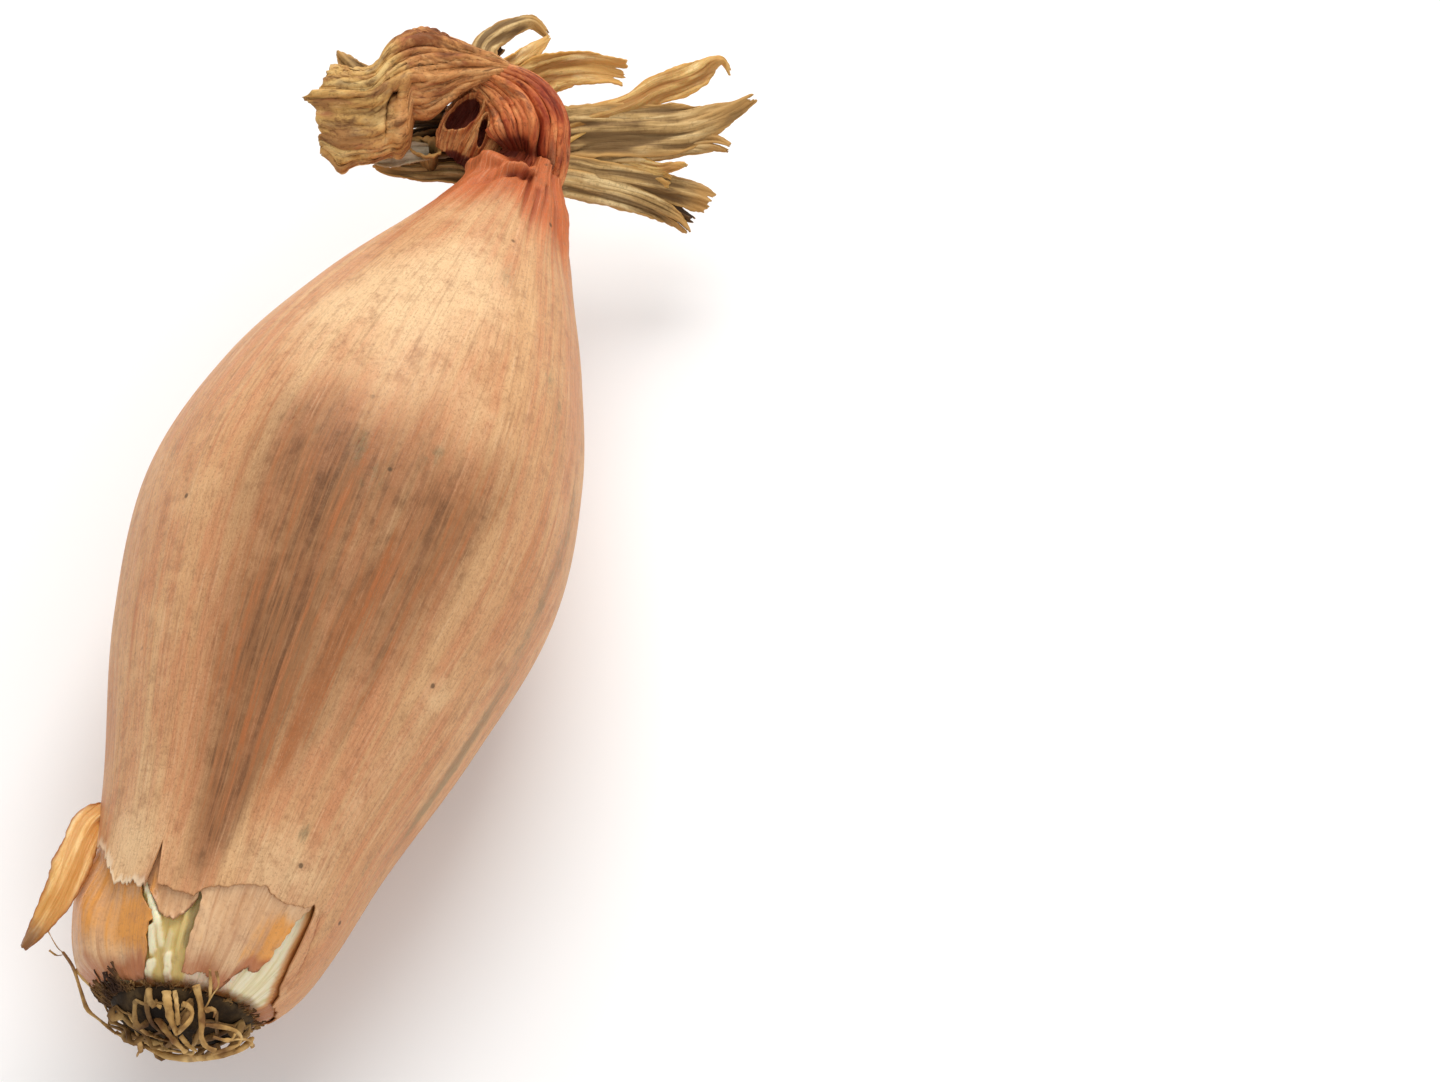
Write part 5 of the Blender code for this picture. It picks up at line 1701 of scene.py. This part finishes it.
def root_walk(chance, index, count, steps=20):
    """A random string that starts on the plate, leaves it and curls back over it."""
    turn = index * math.pi * (3 - math.sqrt(5))
    reach = PLATE_RADIUS * 0.95 * math.sqrt((index + 0.5) / count)
    radial = Vector((0.0, -math.sin(turn), math.cos(turn)))
    point = axis_point(ROOT_STATION) + radial * reach
    point.x = over_plate(point)
    heading = (radial * (0.3 + reach / PLATE_RADIUS) + Vector((-1.0, 0.0, 0.0))).normalized()
    bend_axis = Vector([chance.uniform(-1, 1) for _ in range(3)]).normalized()
    bend = chance.uniform(0.05, 0.16)
    step = chance.uniform(7.0, 14.0) * MM / steps

    def placed(at):
        at = at.copy()
        at.x -= ROOT_SLANT * at.y
        return lay(at)

    points = [placed(point)]
    for _ in range(steps):
        heading.rotate(Matrix.Rotation(bend, 3, bend_axis))
        heading += Vector([chance.uniform(-0.10, 0.10) for _ in range(3)])
        around = Vector((0.0, point.y, point.z))
        if around.length > ROOT_ZONE:
            heading -= around.normalized() * 0.5
        if point.z < ROOT_LOWEST:
            heading.z += 0.4
        if point.x < over_plate(point) - ROOT_DEPTH:
            heading.x += 0.9
        heading.normalize()
        point = point + heading * step
        point.x = min(point.x, over_plate(point))
        points.append(placed(point))
    return points


def bristle(chance, from_degrees, to_degrees, highest):
    """A short, thin, broken root that lies matted on the bulb's end and bends in over the plate."""
    degrees = chance.uniform(from_degrees, to_degrees)
    start = ROOT_STATION + chance.uniform(0.2, highest) * MM
    lift = chance.uniform(0.1, 0.7)
    centre = lay(axis_point(ROOT_STATION) + Vector((-chance.uniform(1.2, 2.2) * MM, 0.0, 0.0)))
    first = chance.uniform(0.0, 0.65)
    length = chance.uniform(0.22, 0.48)
    sway = chance.uniform(-22, 22)
    points = []
    for k in range(8):
        t = first + length * k / 7
        station = start + (ROOT_STATION - start) * min(1.0, 2 * t)
        turn = math.radians(degrees + sway * (t - first) + 2.5 * noise_1d(t * 4, degrees))
        flat = surface_point(station, turn, (lift + 0.5 * noise_1d(t * 7, degrees + 5)) * MM)
        points.append(flat.lerp(centre, 0.85 * max(0.0, 2 * t - 1)))
    return points


chance = random.Random(7)
ROOT_COUNT = 16
# From and to which angle they grow, the highest station above the plate, the largest half width and how many.
BRISTLE_BANDS = [(-140, -38, 2.6, 0.15, 320), (-38, 220, 0.7, 0.14, 160)]
deep_routes = [
    (root_walk(chance, index, ROOT_COUNT), chance.uniform(0.24, 0.44) * MM, DEEP_TAPER)
    for index in range(ROOT_COUNT)
]
shaded_deep_roots = root_curve("shaded_deep_roots", deep_routes)
settle(shaded_deep_roots, shaded_root_material, "dried_roots", "root_tuft")
roots = root_curve(
    "dried_roots", laid_routes(MAIN_ROOTS, MAIN_SHARE, MAIN_TAPER) + laid_routes(FINE_ROOTS, 1.0, THIN_TAPER),
)
settle(roots, root_material, "dried_roots", "root_tuft")

bristle_routes = [
    (bristle(chance, start, end, highest), chance.uniform(0.07, thickest) * MM, THIN_TAPER)
    for start, end, highest, thickest, count in BRISTLE_BANDS for _ in range(count)
]
bristles = root_curve("root_bristles", bristle_routes)
settle(bristles, bristle_material, "dried_roots", "root_tuft")

# %% [markdown]
# ## Floor and light
#
# The shallot lies on a plain pale table. One large soft light stands over the neck end, so that the shoulder
# catches it and the root end falls off gently. A weaker one fills from the root side, and the white
# surroundings do the rest.

# %% Floor and lights
deselect_all()
bpy.ops.mesh.primitive_plane_add(size=6.0, location=(0.0, 0.0, -0.0002))
floor = bpy.context.active_object
floor.name = "floor"
floor_finish = Finish("pale_floor", 0.9, Specular_IOR_Level=0.1)
floor_finish.shader.inputs["Base Color"].default_value = (0.93, 0.93, 0.93, 1.0)
floor.data.materials.append(floor_finish.material)


def area_light(name, direction, distance, size, power, colour):
    deselect_all()
    aim = Vector(direction).normalized()
    bpy.ops.object.light_add(
        type="AREA", location=aim * distance, rotation=aim.to_track_quat("Z", "Y").to_euler(),
    )
    light = bpy.context.active_object
    light.name = name
    light.data.size = size
    light.data.energy = power
    light.data.color = colour
    return light


area_light("key", (0.67, 0.14, 0.73), 0.8, 0.55, 5.2, (1.0, 0.985, 0.965))
area_light("fill", (-0.55, -0.60, 0.60), 1.0, 0.8, 2.2, (1.0, 1.0, 1.0))
world = bpy.data.worlds.new("surroundings")
bpy.context.scene.world = world
world.use_nodes = True
world.node_tree.nodes["Background"].inputs["Color"].default_value = (1.0, 1.0, 1.0, 1.0)
world.node_tree.nodes["Background"].inputs["Strength"].default_value = 0.60
bpy.context.scene.view_settings.view_transform = "Standard"
